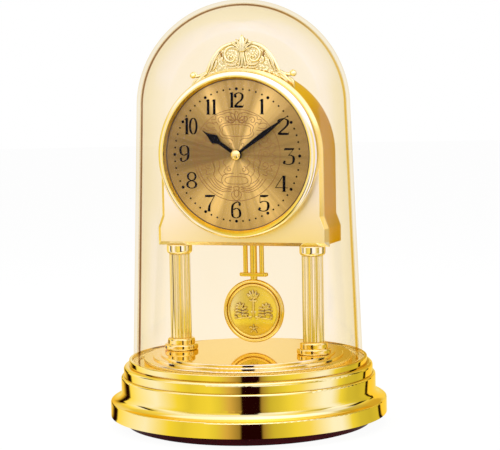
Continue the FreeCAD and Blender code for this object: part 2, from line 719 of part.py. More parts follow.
def make_base_shell():
    """Hollow gold shell: skirt, cove and three rings, closed by the deck."""
    inner_rim = s.rim_radius - s.shell_wall
    inner_middle = s.middle_radius - s.shell_wall
    inner_neck = s.neck_radius - s.shell_wall
    inner_skirt = s.skirt_radius - s.shell_wall
    shell = turned("shell_wall_of_base", [
        (s.skirt_radius, s.skirt_bottom),
        (s.skirt_radius, s.skirt_top - s.skirt_edge),
        Arc(s.skirt_radius - s.skirt_edge, s.skirt_top,
            s.skirt_radius - s.skirt_edge, s.skirt_top - s.skirt_edge),
        Arc(s.neck_radius, s.skirt_top + s.cove_radius,
            s.neck_radius + s.cove_radius, s.skirt_top + s.cove_radius),
        (s.neck_radius, s.neck_top - s.neck_edge),
        Arc(s.neck_radius - s.neck_edge, s.neck_top, s.neck_radius - s.neck_edge, s.neck_top - s.neck_edge),
        (s.middle_radius, s.neck_top),
        (s.middle_radius, s.middle_top - s.middle_edge),
        Arc(s.middle_radius - s.middle_edge, s.middle_top,
            s.middle_radius - s.middle_edge, s.middle_top - s.middle_edge),
        (s.rim_radius, s.middle_top),
        (s.rim_radius, s.rim_top - s.rim_edge),
        Arc(s.rim_radius - s.rim_edge, s.rim_top, s.rim_radius - s.rim_edge, s.rim_top - s.rim_edge),
        (s.rim_bore, s.rim_top),
        (s.rim_bore, s.deck_height),
        (0, s.deck_height),
        (0, deck_under),
        (inner_rim, deck_under),
        (inner_rim, s.middle_top - s.shell_wall),
        (inner_middle, s.middle_top - s.shell_wall),
        (inner_middle, s.neck_top - s.shell_wall),
        (inner_neck, s.neck_top - s.shell_wall),
        (inner_neck, s.skirt_top - s.shell_wall),
        (inner_skirt, s.skirt_top - s.shell_wall),
        (inner_skirt, s.skirt_bottom)])
    places = ring_places(s.base_boss_count, s.base_boss_circle, 45)
    bosses = [cylinder("shell_boss", s.base_boss_radius, plinth_top, deck_under, x, y) for x, y in places]
    tools = [cylinder("shell_pilot", s.base_screw_radius + s.running_gap, plinth_top - s.overrun,
                      plinth_top + s.base_screw_grip + s.overrun, x, y) for x, y in places]
    for side, sign in SIDES:
        tools.append(cylinder("shell_rod_hole", rod_bore, deck_under - s.overrun,
                              s.deck_height + s.overrun, s.column_x * sign, -s.column_forward))
    keep("base_shell", cut("base_shell", fuse("shell_with_bosses", [shell] + bosses), tools))


def make_floor_plate():
    """Polished platform and its two steps, hollow below except under the columns."""
    hollow = s.platform_radius - s.floor_wall
    plate = turned("floor_cap", [
        (s.floor_radius, s.deck_height),
        (s.floor_radius, s.floor_top - s.floor_edge),
        Arc(s.floor_radius - s.floor_edge, s.floor_top,
            s.floor_radius - s.floor_edge, s.floor_top - s.floor_edge),
        (s.step_radius, s.floor_top),
        (s.step_radius, s.step_top - s.floor_edge),
        Arc(s.step_radius - s.floor_edge, s.step_top,
            s.step_radius - s.floor_edge, s.step_top - s.floor_edge),
        (s.platform_radius, s.step_top),
        (s.platform_radius, s.platform_top - s.floor_edge),
        Arc(s.platform_radius - s.floor_edge, s.platform_top,
            s.platform_radius - s.floor_edge, s.platform_top - s.floor_edge),
        (0, s.platform_top),
        (0, s.platform_top - s.floor_wall),
        (hollow, s.platform_top - s.floor_wall),
        (hollow, s.deck_height)])
    bosses, holes = [], []
    for side, sign in SIDES:
        x = s.column_x * sign
        bosses.append(cylinder("floor_boss", s.collar_radius, s.deck_height, s.platform_top - s.floor_wall,
                               x, -s.column_forward))
        holes.append(cylinder("floor_rod_hole", rod_bore, s.deck_height - s.overrun,
                              s.platform_top + s.overrun, x, -s.column_forward))
    keep("floor_plate", cut("floor_plate", fuse("floor_with_bosses", [plate] + bosses), holes))


def make_dome_seal():
    outer = s.rim_bore - s.seat_gap
    inner = outer - s.seal_width
    ring = turned("dome_seal", [
        (inner, s.deck_height),
        (outer, s.deck_height),
        (outer, seal_top),
        (inner, seal_top)])
    keep("dome_seal", ring)


def make_dome():
    """Glass bell: a slightly tapered tube closed by a half sphere."""
    inner_top = s.dome_top_radius - s.dome_wall
    bell = turned("dome", [
        (s.dome_foot_radius - s.dome_wall, dome_bottom),
        (s.dome_foot_radius, dome_bottom),
        (s.dome_top_radius, dome_centre),
        Arc(0, s.dome_height, 0, dome_centre),
        (0, s.dome_height - s.dome_wall),
        Arc(inner_top, dome_centre, 0, dome_centre)])
    keep("dome", bell)


# Columns


def make_column(side, sign):
    x = s.column_x * sign
    y = -s.column_forward
    foot = turned("column_base_" + side, [
        (rod_bore, s.platform_top),
        (s.tier_radius - s.tier_edge, s.platform_top),
        Arc(s.tier_radius, s.platform_top + s.tier_edge,
            s.tier_radius - s.tier_edge, s.platform_top + s.tier_edge),
        (s.tier_radius, s.collar_bottom - s.tier_edge),
        Arc(s.tier_radius - s.tier_edge, s.collar_bottom,
            s.tier_radius - s.tier_edge, s.collar_bottom - s.tier_edge),
        (s.collar_radius, s.collar_bottom),
        (s.collar_radius, s.shaft_bottom - s.collar_edge),
        Arc(s.collar_radius - s.collar_edge, s.shaft_bottom,
            s.collar_radius - s.collar_edge, s.shaft_bottom - s.collar_edge),
        (rod_bore, s.shaft_bottom)])
    keep("column_base_" + side, move(foot, x, y))

    shaft = new_body("column_shaft_" + side)
    add_pad(shaft, "shaft_" + side, (0, 0, s.shaft_radius), s.shaft_bottom, s.capital_bottom,
            holes=[(0, 0, rod_bore)])
    flute = add_pocket(shaft, "flute_" + side,
                       (s.shaft_radius + s.flute_radius - s.flute_depth, 0, s.flute_radius),
                       s.shaft_bottom - s.overrun, s.capital_bottom + s.overrun)
    flutes = shaft.newObject("PartDesign::PolarPattern", "flutes_" + side)
    flutes.Originals = [flute]
    flutes.Axis = (flute.Profile[0], ["N_Axis"])
    flutes.Angle = 360
    flutes.setExpression("Occurrences", s.flute_count.text)
    shaft.Tip = flutes
    keep("column_shaft_" + side, move(shaft, x, y))

    capital = turned("column_capital_" + side, [
        (rod_bore, s.capital_bottom),
        (s.capital_radius - s.capital_round, s.capital_bottom),
        Arc(s.capital_radius, s.capital_bottom + s.capital_round,
            s.capital_radius - s.capital_round, s.capital_bottom + s.capital_round),
        (s.capital_radius, s.case_front_bottom - s.capital_edge),
        Arc(s.capital_radius - s.capital_edge, s.case_front_bottom,
            s.capital_radius - s.capital_edge, s.case_front_bottom - s.capital_edge),
        (s.spigot_radius, s.case_front_bottom),
        (s.spigot_radius, s.case_bottom),
        (rod_bore, s.case_bottom)])
    keep("column_capital_" + side, move(capital, x, y))


def make_tie_rods():
    """A threaded rod through each column, with a nut under the deck and one in the case."""
    lower_nut = deck_under - s.rod_nut_height
    upper_nut = case_floor_top + s.rod_nut_height
    rods, nuts = [], []
    for side, sign in SIDES:
        x = s.column_x * sign
        rods.append(cylinder("tie_rod", s.rod_radius, lower_nut - s.rod_end, upper_nut + s.rod_end,
                             x, -s.column_forward))
        for name, low in (("lower", lower_nut), ("upper", case_floor_top)):
            nut = new_body("nut_%s_%s" % (name, side))
            add_pad(nut, "nut_%s_%s" % (name, side), hexagon(s.rod_nut_flats), low, low + s.rod_nut_height,
                    holes=[(0, 0, s.rod_radius + s.running_gap)])
            nuts.append(move(nut, x, -s.column_forward))
    keep("tie_rods", group("tie_rods", rods))
    keep("tie_rod_nuts", group("tie_rod_nuts", nuts))


# Case
def case_outline(foot, width, bottom):
    """Arched outline about the dial's centre, with a wider foot."""
    foot_rise = s.foot_top - s.dial_height
    shoulder = s.shoulder_bottom - s.dial_height
    low = bottom - s.dial_height
    return [
        (-foot, low),
        (foot, low),
        (foot, foot_rise),
        (width, shoulder),
        (width, 0),
        Arc(0, width, 0, 0),
        Arc(-width, 0, 0, 0),
        (-width, shoulder),
        (-foot, foot_rise)]


body_foot = s.foot_half_width - s.body_step
body_width = s.case_half_width - s.body_step
front_back = s.case_face - s.front_thickness
spigot_outer = s.dial_radius + s.running_gap + s.spigot_wall


def case_screw_places():
    """Two upper places on the arch and two lower ones in the foot."""
    inside = body_width - s.case_wall - s.case_boss_radius / 2
    foot_inside = body_foot - s.case_wall - s.case_boss_radius / 2
    places = []
    for side, sign in SIDES:
        places.append((inside * cos(s.case_boss_angle) * sign, inside * sin(s.case_boss_angle)))
        places.append((foot_inside * sign, s.case_bottom + s.case_boss_rise - s.dial_height))
    return places


def make_case_front():
    """Front plate with a bevelled edge and a round hole for the bezel."""
    body = new_body("case_front")
    outline = case_outline(s.foot_half_width, s.case_half_width, s.case_front_bottom)
    plate = add_pad(body, "front_plate", outline, front_back, s.case_face)
    doc.recompute()
    solid = body.Shape
    edges = [index for index, edge in enumerate(solid.Edges, 1)
             if edge.BoundBox.ZMin > value_of(s.case_face) - value_of(s.running_gap)]
    bevel = body.newObject("PartDesign::Chamfer", "front_edge")
    bevel.Base = (plate, ["Edge%d" % index for index in edges])
    bind(bevel, "Size", s.front_bevel)
    add_pocket(body, "front_hole", (0, 0, spigot_outer + s.running_gap),
               front_back - s.overrun, s.case_face + s.overrun)
    keep("case_front", face_front(body))


def make_case_body():
    """Arched shell with a floor, a pendulum slot and four screw bosses."""
    body = new_body("case_tube")
    add_pad(body, "case_outside", case_outline(body_foot, body_width, s.case_bottom),
            -s.body_back, front_back)
    add_pocket(body, "case_inside",
               case_outline(body_foot - s.case_wall, body_width - s.case_wall, case_floor_top),
               -s.body_back - s.overrun, front_back + s.overrun)
    places = case_screw_places()
    bosses = [cylinder("case_boss", s.case_boss_radius, -s.body_back, s.case_boss_depth - s.body_back, x, y)
              for x, y in places]
    floor_low = s.case_bottom - s.dial_height
    floor_high = case_floor_top - s.dial_height
    tools = [block("pendulum_slot", -s.slot_half_width, s.slot_half_width,
                   floor_low - s.overrun, floor_high + s.overrun,
                   -s.pendulum_behind - s.slot_half_depth, s.slot_half_depth - s.pendulum_behind)]
    for side, sign in SIDES:
        hole = doc.addObject("Part::Cylinder", "case_rod_hole")
        bind(hole, "Radius", rod_bore)
        bind(hole, "Height", s.case_floor + s.overrun * 2)
        tools.append(move(hole, s.column_x * sign, floor_high + s.overrun, s.column_forward,
                          axis=(1, 0, 0), angle=90))
    for x, y in places:
        tools.append(cylinder("case_pilot", s.case_screw_radius + s.running_gap, -s.body_back - s.overrun,
                              s.case_boss_depth - s.body_back + s.overrun, x, y))
    shell = cut("case_body", fuse("case_with_bosses", [body] + bosses), tools)
    keep("case_body", face_front(shell))


def make_case_back():
    """Rear panel with a window for the battery and the setting knob."""
    body = new_body("case_back")
    rear = -s.body_back - s.back_thickness
    add_pad(body, "back_plate", case_outline(body_foot, body_width, s.case_bottom), rear, -s.body_back)
    add_pocket(body, "back_window",
               rectangle(-s.window_half_width, s.window_half_width,
                         -s.window_drop, s.housing_top + s.window_headroom),
               rear - s.overrun, s.overrun - s.body_back)
    for index, (x, y) in enumerate(case_screw_places()):
        add_pocket(body, "back_screw_hole_%d" % index, (x, y, s.case_screw_radius + s.rod_gap),
                   rear - s.overrun, s.overrun - s.body_back)
    keep("case_back", face_front(body))

    screws = []
    for x, y in case_screw_places():
        head = cylinder("case_screw_head", s.case_screw_head,
                        rear - s.case_screw_head_height, rear, x, y)
        shank = cylinder("case_screw_shank", s.case_screw_radius,
                         rear, s.case_boss_depth - s.body_back, x, y)
        screws.append(fuse("case_screw", [head, shank]))
    keep("case_back_screws", face_front(group("case_back_screws", screws)))


def rounded_rectangle(half_width, bottom, top, corner):
    return [
        (half_width - corner, bottom),
        Arc(half_width, bottom + corner, half_width - corner, bottom + corner),
        (half_width, top - corner),
        Arc(half_width - corner, top, half_width - corner, top - corner),
        (-half_width + corner, top),
        Arc(-half_width, top - corner, -half_width + corner, top - corner),
        (-half_width, bottom + corner),
        Arc(-half_width + corner, bottom, -half_width + corner, bottom + corner)]


def make_back_door():
    """Snap-on lid over the rear window, with a rim that enters it."""
    inner = -s.body_back - s.back_thickness - s.running_gap
    low = -s.window_drop
    high = s.housing_top + s.window_headroom
    body = new_body("back_door")
    add_pad(body, "door_rim", rectangle(-s.window_half_width + s.seat_gap, s.window_half_width - s.seat_gap,
                                        low + s.seat_gap, high - s.seat_gap), inner, inner + s.door_plug)
    trim = s.seat_gap + s.door_rim
    add_pocket(body, "door_hollow", rectangle(-s.window_half_width + trim, s.window_half_width - trim,
                                              low + trim, high - trim),
              inner, inner + s.door_plug + s.overrun)
    add_pad(body, "door_plate", rounded_rectangle(s.window_half_width + s.door_lap, low - s.door_lap,
                                                  high + s.door_lap, s.door_corner),
            inner - s.door_thickness, inner)
    keep("back_door", face_front(body))


def make_crest():
    """Pierced ornament on the arch: shoulders, finial, end leaves, knobs and C-scrolls."""
    seat = body_width + s.running_gap
    leaf = seat + s.crest_leaf_height
    front = s.crest_back + s.crest_thickness
    end = s.crest_foot_angle
    ball_x = (seat + s.crest_knob_height) * cos(s.crest_knob_angle)
    ball_y = (seat + s.crest_knob_height) * sin(s.crest_knob_angle)
    lobe_side = s.crest_lobe_radius
    # Where the shoulder circle meets the top of the leaves
    meet_y = (leaf * leaf - lobe_side * lobe_side + s.crest_lobe_height * s.crest_lobe_height) / (
        s.crest_lobe_height * 2)
    meet_x = root(leaf * leaf - meet_y * meet_y)
    # Where the finial's neck leaves the shoulder circle
    neck_x = s.crest_neck * 2
    neck_y = s.crest_lobe_height + root(lobe_side * lobe_side - neck_x * neck_x)
    waist_y = (neck_y + s.crest_tip) / 2
    body = new_body("crest_plate")
    add_pad(body, "crest_outline", [
        (leaf * cos(end), leaf * sin(end)),
        Arc(meet_x, meet_y, 0, 0),
        Arc(neck_x, neck_y, 0, s.crest_lobe_height),
        (s.crest_neck / 2, waist_y),
        (0, s.crest_tip),
        (-s.crest_neck / 2, waist_y),
        (-neck_x, neck_y),
        Arc(-meet_x, meet_y, 0, s.crest_lobe_height),
        Arc(-leaf * cos(end), leaf * sin(end), 0, 0),
        (-seat * cos(end), seat * sin(end)),
        Arc(0, seat, 0, 0),
        Arc(seat * cos(end), seat * sin(end), 0, 0)], s.crest_back, front)
    pieces = [body]
    for side, sign in SIDES:
        knob = doc.addObject("Part::Sphere", "crest_knob_" + side)
        bind(knob, "Radius", s.crest_knob_radius)
        pieces.append(move(knob, ball_x * sign, ball_y, s.crest_back + s.crest_thickness / 2))
        stem = doc.addObject("Part::Cone", "crest_stem_" + side)
        bind(stem, "Radius1", s.crest_knob_radius)
        bind(stem, "Radius2", s.crest_knob_radius / 2)
        bind(stem, "Height", s.crest_knob_height - s.crest_leaf_height / 2)
        stem_turn = FreeCAD.Rotation(FreeCAD.Vector(-value_of(ball_y), value_of(ball_x) * sign, 0), 90)
        share = (seat + s.crest_leaf_height / 2) / (seat + s.crest_knob_height)
        move(stem, ball_x * sign * share, ball_y * share, s.crest_back + s.crest_thickness / 2)
        stem.Placement = FreeCAD.Placement(stem.Placement.Base, stem_turn)
        pieces.append(stem)
        scroll = doc.addObject("Part::Torus", "crest_scroll_" + side)
        bind(scroll, "Radius1", s.crest_scroll_radius)
        bind(scroll, "Radius2", s.crest_scroll_wire)
        pieces.append(move(scroll, s.crest_scroll_offset * sign, s.crest_scroll_height, front))
    keep("crest", face_front(fuse("crest", pieces)))


# Bezel and dial
def make_bezel():
    """Polished ring: a spigot in the case, a rounded outer edge and a slope down to the dial."""
    bore = s.dial_radius + s.running_gap
    spigot_back = s.case_face - s.spigot_depth
    crest_radius = s.bezel_radius - s.bezel_round
    keep("bezel", face_front(turned("bezel", [
        (bore, spigot_back),
        (spigot_outer, spigot_back),
        (spigot_outer, s.case_face),
        (s.bezel_radius, s.case_face),
        (s.bezel_radius, s.bezel_front - s.bezel_round),
        Arc(crest_radius, s.bezel_front, crest_radius, s.bezel_front - s.bezel_round),
        (crest_radius - s.bezel_land, s.bezel_front),
        (s.dial_opening, s.dial_face + s.bezel_lip),
        (s.dial_opening, s.dial_face),
        (bore, s.dial_face)])))


def make_dial():
    dial_back = s.dial_face - s.dial_thickness
    backing_back = dial_back - s.backing_thickness
    keep("dial", face_front(turned("dial", [
        (s.dial_hole, dial_back),
        (s.dial_radius, dial_back),
        (s.dial_radius, s.dial_face),
        (s.dial_hole, s.dial_face)])))
    keep("dial_backing", face_front(turned("dial_backing", [
        (s.bush_radius + s.running_gap, backing_back),
        (s.dial_radius, backing_back),
        (s.dial_radius, dial_back),
        (s.nut_recess_radius, dial_back),
        (s.nut_recess_radius, dial_back - s.nut_recess_depth),
        (s.bush_radius + s.running_gap, dial_back - s.nut_recess_depth)])))
    keep("dial_retainer", face_front(turned("dial_retainer", [
        (s.dial_radius - s.retainer_width, backing_back - s.retainer_thickness),
        (s.dial_radius, backing_back - s.retainer_thickness),
        (s.dial_radius, backing_back),
        (s.dial_radius - s.retainer_width, backing_back)])))


hour_hand_back = s.dial_face + s.hour_hand_forward
minute_hand_back = hour_hand_back + s.hand_thickness + s.hand_spacing
minute_hand_front = minute_hand_back + s.hand_thickness


def make_hand(name, half_outline, back, bore, angle):
    """A flat hand that points up in its sketch and is then turned to the time shown."""
    outline = half_outline + [(-x, y) for x, y in reversed(half_outline) if isinstance(x, Size)]
    body = new_body(name + "_blade")
    add_pad(body, name + "_blade", outline, back, back + s.hand_thickness)
    hub = cylinder(name + "_hub", s.hub_radius, back, back + s.hand_thickness)
    hole = cylinder(name + "_hole", bore, back - s.overrun, back + s.hand_thickness + s.overrun)
    hand = cut(name, fuse(name + "_solid", [body, hub]), [hole])
    turn = FreeCAD.Rotation(FreeCAD.Vector(1, 0, 0), 90).multiply(
        FreeCAD.Rotation(FreeCAD.Vector(0, 0, 1), -value_of(angle)))
    hand.Placement = FreeCAD.Placement(FreeCAD.Vector(0, 0, value_of(s.dial_height)), turn)
    hand.setExpression("Placement.Base.z", s.dial_height.text)
    keep(name, hand)


def make_hands():
    """Hour hand with a spade, minute hand with a long leaf, and the round cap on top."""
    length = s.hour_hand_length
    spade_shares = ((0.5, 0.32), (0.57, 0.62), (0.635, 1), (0.72, 0.72), (0.78, 0.42), (0.86, 0.2))
    hour_outline = [(s.hour_hand_stem, s.hub_radius / 2)]
    hour_outline += [(s.hour_hand_spade * width, length * share) for share, width in spade_shares]
    hour_outline.append((0, length))
    make_hand("hour_hand", hour_outline, hour_hand_back, s.hour_pipe_radius, s.hour_hand_angle)

    length = s.minute_hand_length
    leaf_shares = ((0.35, 0.8), (0.55, 1), (0.72, 0.66), (0.84, 0.3), (0.94, 0.16))
    minute_outline = [(s.minute_hand_stem, s.hub_radius / 2)]
    minute_outline += [(s.minute_hand_leaf * width, length * share) for share, width in leaf_shares]
    minute_outline.append((0, length))
    make_hand("minute_hand", minute_outline, minute_hand_back, s.minute_arbor_radius, s.minute_hand_angle)

    cap_base = minute_hand_front
    swell = s.cap_height - s.cap_edge
    dome_radius = (s.cap_radius * s.cap_radius + swell * swell) / (swell * 2)
    keep("hand_cap", face_front(turned("hand_cap", [
        (0, cap_base),
        (s.cap_radius, cap_base),
        (s.cap_radius, cap_base + s.cap_edge),
        Arc(0, cap_base + s.cap_height, 0, cap_base + s.cap_height - dome_radius)])))


# Movement housing
tray_floor = s.housing_front - s.housing_front_skin
inner_half = s.housing_half_width - s.housing_wall
motion_distance = (s.cannon_teeth + s.transfer_teeth) * s.motion_module / 2
hour_module = motion_distance * 2 / (s.transfer_pinion_teeth + s.hour_teeth)
third_x = (s.centre_teeth + s.third_pinion_teeth) * s.train_module / 2
fourth_reach = (s.third_teeth + s.fourth_pinion_teeth) * s.train_module / 2
fourth_x = third_x + fourth_reach * cos(s.fourth_angle)
fourth_y = fourth_reach * sin(s.fourth_angle)
knob_x = -(motion_distance + (s.transfer_teeth + s.knob_teeth) * s.motion_module / 2)
pivot_y = s.pivot_height - s.dial_height
battery_forward = s.battery_radius + s.battery_gap - s.housing_back


def post_places():
    x = s.housing_half_width - s.post_inset
    return [(x * sign, y) for side, sign in SIDES for y in (-s.housing_bottom + s.post_inset, s.post_top)]


def make_movement_front():
    """Front half of the housing: tray, threaded bush, posts and the transfer wheel's stud."""
    outside = block("tray_outside", -s.housing_half_width, s.housing_half_width,
                    -s.housing_bottom, s.housing_top, s.housing_split, s.housing_front)
    inside = block("tray_inside", -inner_half, inner_half, s.housing_wall - s.housing_bottom,
                   s.housing_top - s.housing_wall, s.housing_split - s.overrun, tray_floor)
    bush = cylinder("bush", s.bush_radius, tray_floor, s.housing_front + s.bush_reach)
    bore = cylinder("bush_bore", s.hour_pipe_radius + s.running_gap, tray_floor - s.overrun,
                    s.housing_front + s.bush_reach + s.overrun)
    posts = [cylinder("post", s.post_radius, bridge_front, tray_floor, x, y) for x, y in post_places()]
    stud = cylinder("stud", s.stud_radius, motion_low - s.running_gap * 2, tray_floor, -motion_distance, 0)
    tray = cut("tray", outside, [inside])
    solid = fuse("tray_with_posts", [tray, bush, stud] + posts)
    keep("movement_front", face_front(cut("movement_front", solid, [bore])))


def make_movement_back():
    """Rear half: train cover, coil bay, open battery trough and the boss of the pendulum's pivot."""
    rear = -s.housing_back
    skin = rear + s.housing_front_skin
    outside = block("cover_outside", -s.housing_half_width, s.housing_half_width,
                    -s.housing_bottom, s.housing_top, rear, s.housing_split)
    bay = block("bay_outside", -s.coil_bay_half_width, s.coil_bay_half_width,
                -s.coil_bay_bottom, -s.housing_bottom, rear, s.housing_split)
    boss_end = s.hanger_thickness / 2 + s.hanger_side_gap - s.pendulum_behind
    boss = cylinder("pivot_boss", s.pivot_boss_radius, boss_end, rear, 0, pivot_y)
    inside = block("cover_inside", -inner_half, inner_half, s.housing_wall - s.housing_bottom,
                   s.housing_top - s.housing_wall, skin, s.housing_split + s.overrun)
    bay_inside = block("bay_inside", s.housing_wall - s.coil_bay_half_width,
                       s.coil_bay_half_width - s.housing_wall, s.housing_wall - s.coil_bay_bottom,
                       s.housing_wall * 2 - s.housing_bottom, skin, s.housing_split - s.housing_wall)
    shell = cut("cover_shell", fuse("cover_solid", [outside, bay, boss]), [inside, bay_inside])
    reach = s.battery_radius + s.battery_gap
    trough = block("trough_outside", s.battery_gap - inner_half, inner_half - s.battery_gap,
                   s.battery_rise - reach - s.trough_wall, s.battery_rise + reach + s.trough_wall,
                   skin, battery_forward + reach + s.trough_wall)
    trough_inside = block("trough_inside", -s.battery_end, s.battery_end,
                          s.battery_rise - reach, s.battery_rise + reach,
                          rear - s.overrun, battery_forward + reach)
    pivot_hole = cylinder("pivot_hole", s.pivot_radius, boss_end - s.overrun, skin + s.overrun, 0, pivot_y)
    knob_hole = cylinder("knob_hole", s.knob_shaft_radius + s.running_gap, rear - s.overrun,
                         skin + s.overrun, knob_x, 0)
    solid = fuse("cover_with_trough", [shell, trough])
    keep("movement_back", face_front(cut("movement_back", solid, [trough_inside, pivot_hole, knob_hole])))


def make_train_bridge():
    """Plate on the four posts that carries the rear pivots."""
    x = s.housing_half_width - s.post_inset + s.post_radius
    plate = block("bridge_plate", -x, x, s.post_inset - s.post_radius - s.housing_bottom,
                  s.post_top + s.post_radius, bridge_rear, bridge_front)
    places = ((0, 0, s.minute_pivot_radius), (third_x, 0, s.arbor_radius),
              (fourth_x, fourth_y, s.arbor_radius), (knob_x, 0, s.knob_shaft_radius))
    holes = [cylinder("bridge_hole", radius + s.running_gap, bridge_rear - s.overrun,
                      bridge_front + s.overrun, x, y) for x, y, radius in places]
    keep("train_bridge", face_front(cut("train_bridge", plate, holes)))


def make_mounting_nut():
    floor = s.dial_face - s.dial_thickness - s.nut_recess_depth
    bore = s.bush_radius + s.running_gap
    keep("mounting_washer", face_front(turned("mounting_washer", [
        (bore, floor),
        (s.washer_radius, floor),
        (s.washer_radius, floor + s.washer_thickness),
        (bore, floor + s.washer_thickness)])))
    nut = new_body("mounting_nut")
    low = floor + s.washer_thickness
    add_pad(nut, "mounting_nut", hexagon(s.nut_flats), low, low + s.nut_thickness, holes=[(0, 0, bore)])
    keep("mounting_nut", face_front(nut))


# Wheels: clock teeth with straight flanks below the pitch circle and a pointed arch above it
motion_high = tray_floor - s.layer_gap - s.motion_thickness - s.layer_gap
motion_low = motion_high - s.motion_thickness
hour_low = motion_high + s.layer_gap
centre_high = motion_low - s.layer_gap - s.wheel_thickness
centre_low = centre_high - s.wheel_thickness
third_high = centre_low - s.layer_gap - s.wheel_thickness / 2
third_low = third_high - s.wheel_thickness
fourth_high = third_low - s.layer_gap - s.wheel_thickness / 2
fourth_low = fourth_high - s.wheel_thickness
bridge_front = fourth_low - s.bridge_gap
bridge_rear = bridge_front - s.bridge_thickness

# Height above the pitch circle as a share of the module, half width as a share of the pitch
TOOTH_SHARES = ((-1.1, 0.17), (0, 0.2), (0.4, 0.165), (0.75, 0.08))


def gear_blank(teeth, module, low, high, x=0, y=0, phase=0):
    """A toothed disc with one tooth centred on the phase angle."""
    count = int(round(value_of(teeth)))
    size = value_of(module)
    pitch_radius = count * size / 2
    corners = []
    for index in range(count):
        middle = math.radians(phase + 360 * index / count)
        for sign in (-1, 1):
            for rise, half in TOOTH_SHARES[::-sign]:
                angle = middle + sign * half * 2 * math.pi / count
                radius = pitch_radius + rise * size
                corners.append(FreeCAD.Vector(radius * math.cos(angle) + value_of(x),
                                              radius * math.sin(angle) + value_of(y), value_of(low)))
    face = Part.Face(Part.makePolygon(corners + corners[:1]))
    return face.extrude(FreeCAD.Vector(0, 0, value_of(high) - value_of(low)))


def mesh_phase(phase, teeth, direction, other_teeth):
    """Phase of a second wheel, in that direction from the first, so that the teeth interlock."""
    offset = (phase - direction) * value_of(teeth) + 180
    return direction + 180 - offset / value_of(other_teeth)


def rod(radius, low, high, x=0, y=0):
    base = FreeCAD.Vector(value_of(x), value_of(y), value_of(low))
    return Part.makeCylinder(value_of(radius), value_of(high) - value_of(low), base)


def keep_wheel(name, pieces, bores=()):
    """Join the pieces of a wheel, bore it and stand it on the dial's axis."""
    solid = pieces[0].fuse(pieces[1:]) if len(pieces) > 1 else pieces[0]
    for bore in bores:
        solid = solid.cut(bore)
    thing = doc.addObject("Part::Feature", name)
    thing.Shape = solid.removeSplitter()
    keep(name, face_front(thing))


def make_wheels():
    arbor_front = tray_floor - s.running_gap * 2
    arbor_back = s.running_gap + bridge_rear
    cannon_phase = 0
    transfer_phase = mesh_phase(cannon_phase, s.cannon_teeth, 180, s.transfer_teeth)
    knob_phase = mesh_phase(transfer_phase, s.transfer_teeth, 180, s.knob_teeth)
    hour_phase = mesh_phase(0, s.transfer_pinion_teeth, 0, s.hour_teeth)
    third_phase = mesh_phase(0, s.centre_teeth, 0, s.third_pinion_teeth)
    fourth_phase = mesh_phase(0, s.third_teeth, value_of(s.fourth_angle), s.fourth_pinion_teeth)
    extra = s.wheel_thickness / 5

    keep_wheel("minute_arbor", [
        rod(s.minute_arbor_radius, centre_low, minute_hand_front),
        rod(s.minute_pivot_radius, arbor_back, centre_low),
        gear_blank(s.cannon_teeth, s.motion_module, motion_low, motion_high, phase=cannon_phase),
        gear_blank(s.centre_teeth, s.train_module, centre_low, centre_high)])
    keep_wheel("hour_wheel", [
        rod(s.hour_pipe_radius, hour_low, hour_hand_back + s.hand_thickness),
        gear_blank(s.hour_teeth, hour_module, hour_low, hour_low + s.motion_thickness, phase=hour_phase)],
        [rod(s.minute_arbor_radius + s.running_gap, hour_low - s.overrun, minute_hand_front)])
    keep_wheel("transfer_wheel", [
        gear_blank(s.transfer_teeth, s.motion_module, motion_low, motion_high,
                   -motion_distance, 0, transfer_phase),
        gear_blank(s.transfer_pinion_teeth, hour_module, motion_high, hour_low + s.motion_thickness,
                   -motion_distance, 0)],
        [rod(s.stud_radius + s.running_gap, motion_low - s.overrun, tray_floor, -motion_distance, 0)])
    keep_wheel("third_wheel", [
        rod(s.arbor_radius, arbor_back, arbor_front, third_x, 0),
        gear_blank(s.third_pinion_teeth, s.train_module, centre_low - extra, centre_high + extra,
                   third_x, 0, third_phase),
        gear_blank(s.third_teeth, s.train_module, third_low, third_high, third_x, 0)])
    keep_wheel("fourth_wheel", [
        rod(s.arbor_radius, arbor_back, arbor_front, fourth_x, fourth_y),
        gear_blank(s.fourth_pinion_teeth, s.train_module, third_low - extra, third_high + extra,
                   fourth_x, fourth_y, fourth_phase),
        gear_blank(s.fourth_teeth, s.train_module, fourth_low, fourth_high, fourth_x, fourth_y)])

    knob_front = -s.housing_back - s.hanger_side_gap
    grooves = []
    for index in range(int(value_of(s.knob_grooves))):
        angle = 2 * math.pi * index / value_of(s.knob_grooves)
        grooves.append(rod(s.knob_groove_radius,
                           knob_front - s.knob_length - s.overrun, knob_front + s.overrun,
                           knob_x + s.knob_radius * math.cos(angle), s.knob_radius * math.sin(angle)))
    keep_wheel("setting_knob", [
        rod(s.knob_shaft_radius, knob_front, motion_high, knob_x, 0),
        gear_blank(s.knob_teeth, s.motion_module, motion_low, motion_high, knob_x, 0, knob_phase),
        rod(s.knob_radius, knob_front - s.knob_length, knob_front, knob_x, 0)], grooves)


# Electrical pieces
def make_battery():
    half = s.battery_length / 2
    shift = s.battery_button_length / 2
    can = lying_cylinder("battery_can", s.battery_radius, -half - shift, half - shift,
                         s.battery_rise, battery_forward)
    button = lying_cylinder("battery_button", s.battery_button_radius, half - shift,
                            half + shift, s.battery_rise, battery_forward)
    keep("battery", face_front(fuse("battery", [can, button])))
    contacts = []
    for side, sign in SIDES:
        outer = s.battery_end * sign
        inner = (s.battery_end - s.contact_thickness) * sign
        left, right = (outer, inner) if sign < 0 else (inner, outer)
        contacts.append(block("contact", left, right, s.battery_rise - s.contact_half_width,
                              s.battery_rise + s.contact_half_width, battery_forward - s.contact_half_width,
                              battery_forward + s.contact_half_width))
    keep("battery_contacts", face_front(group("battery_contacts", contacts)))


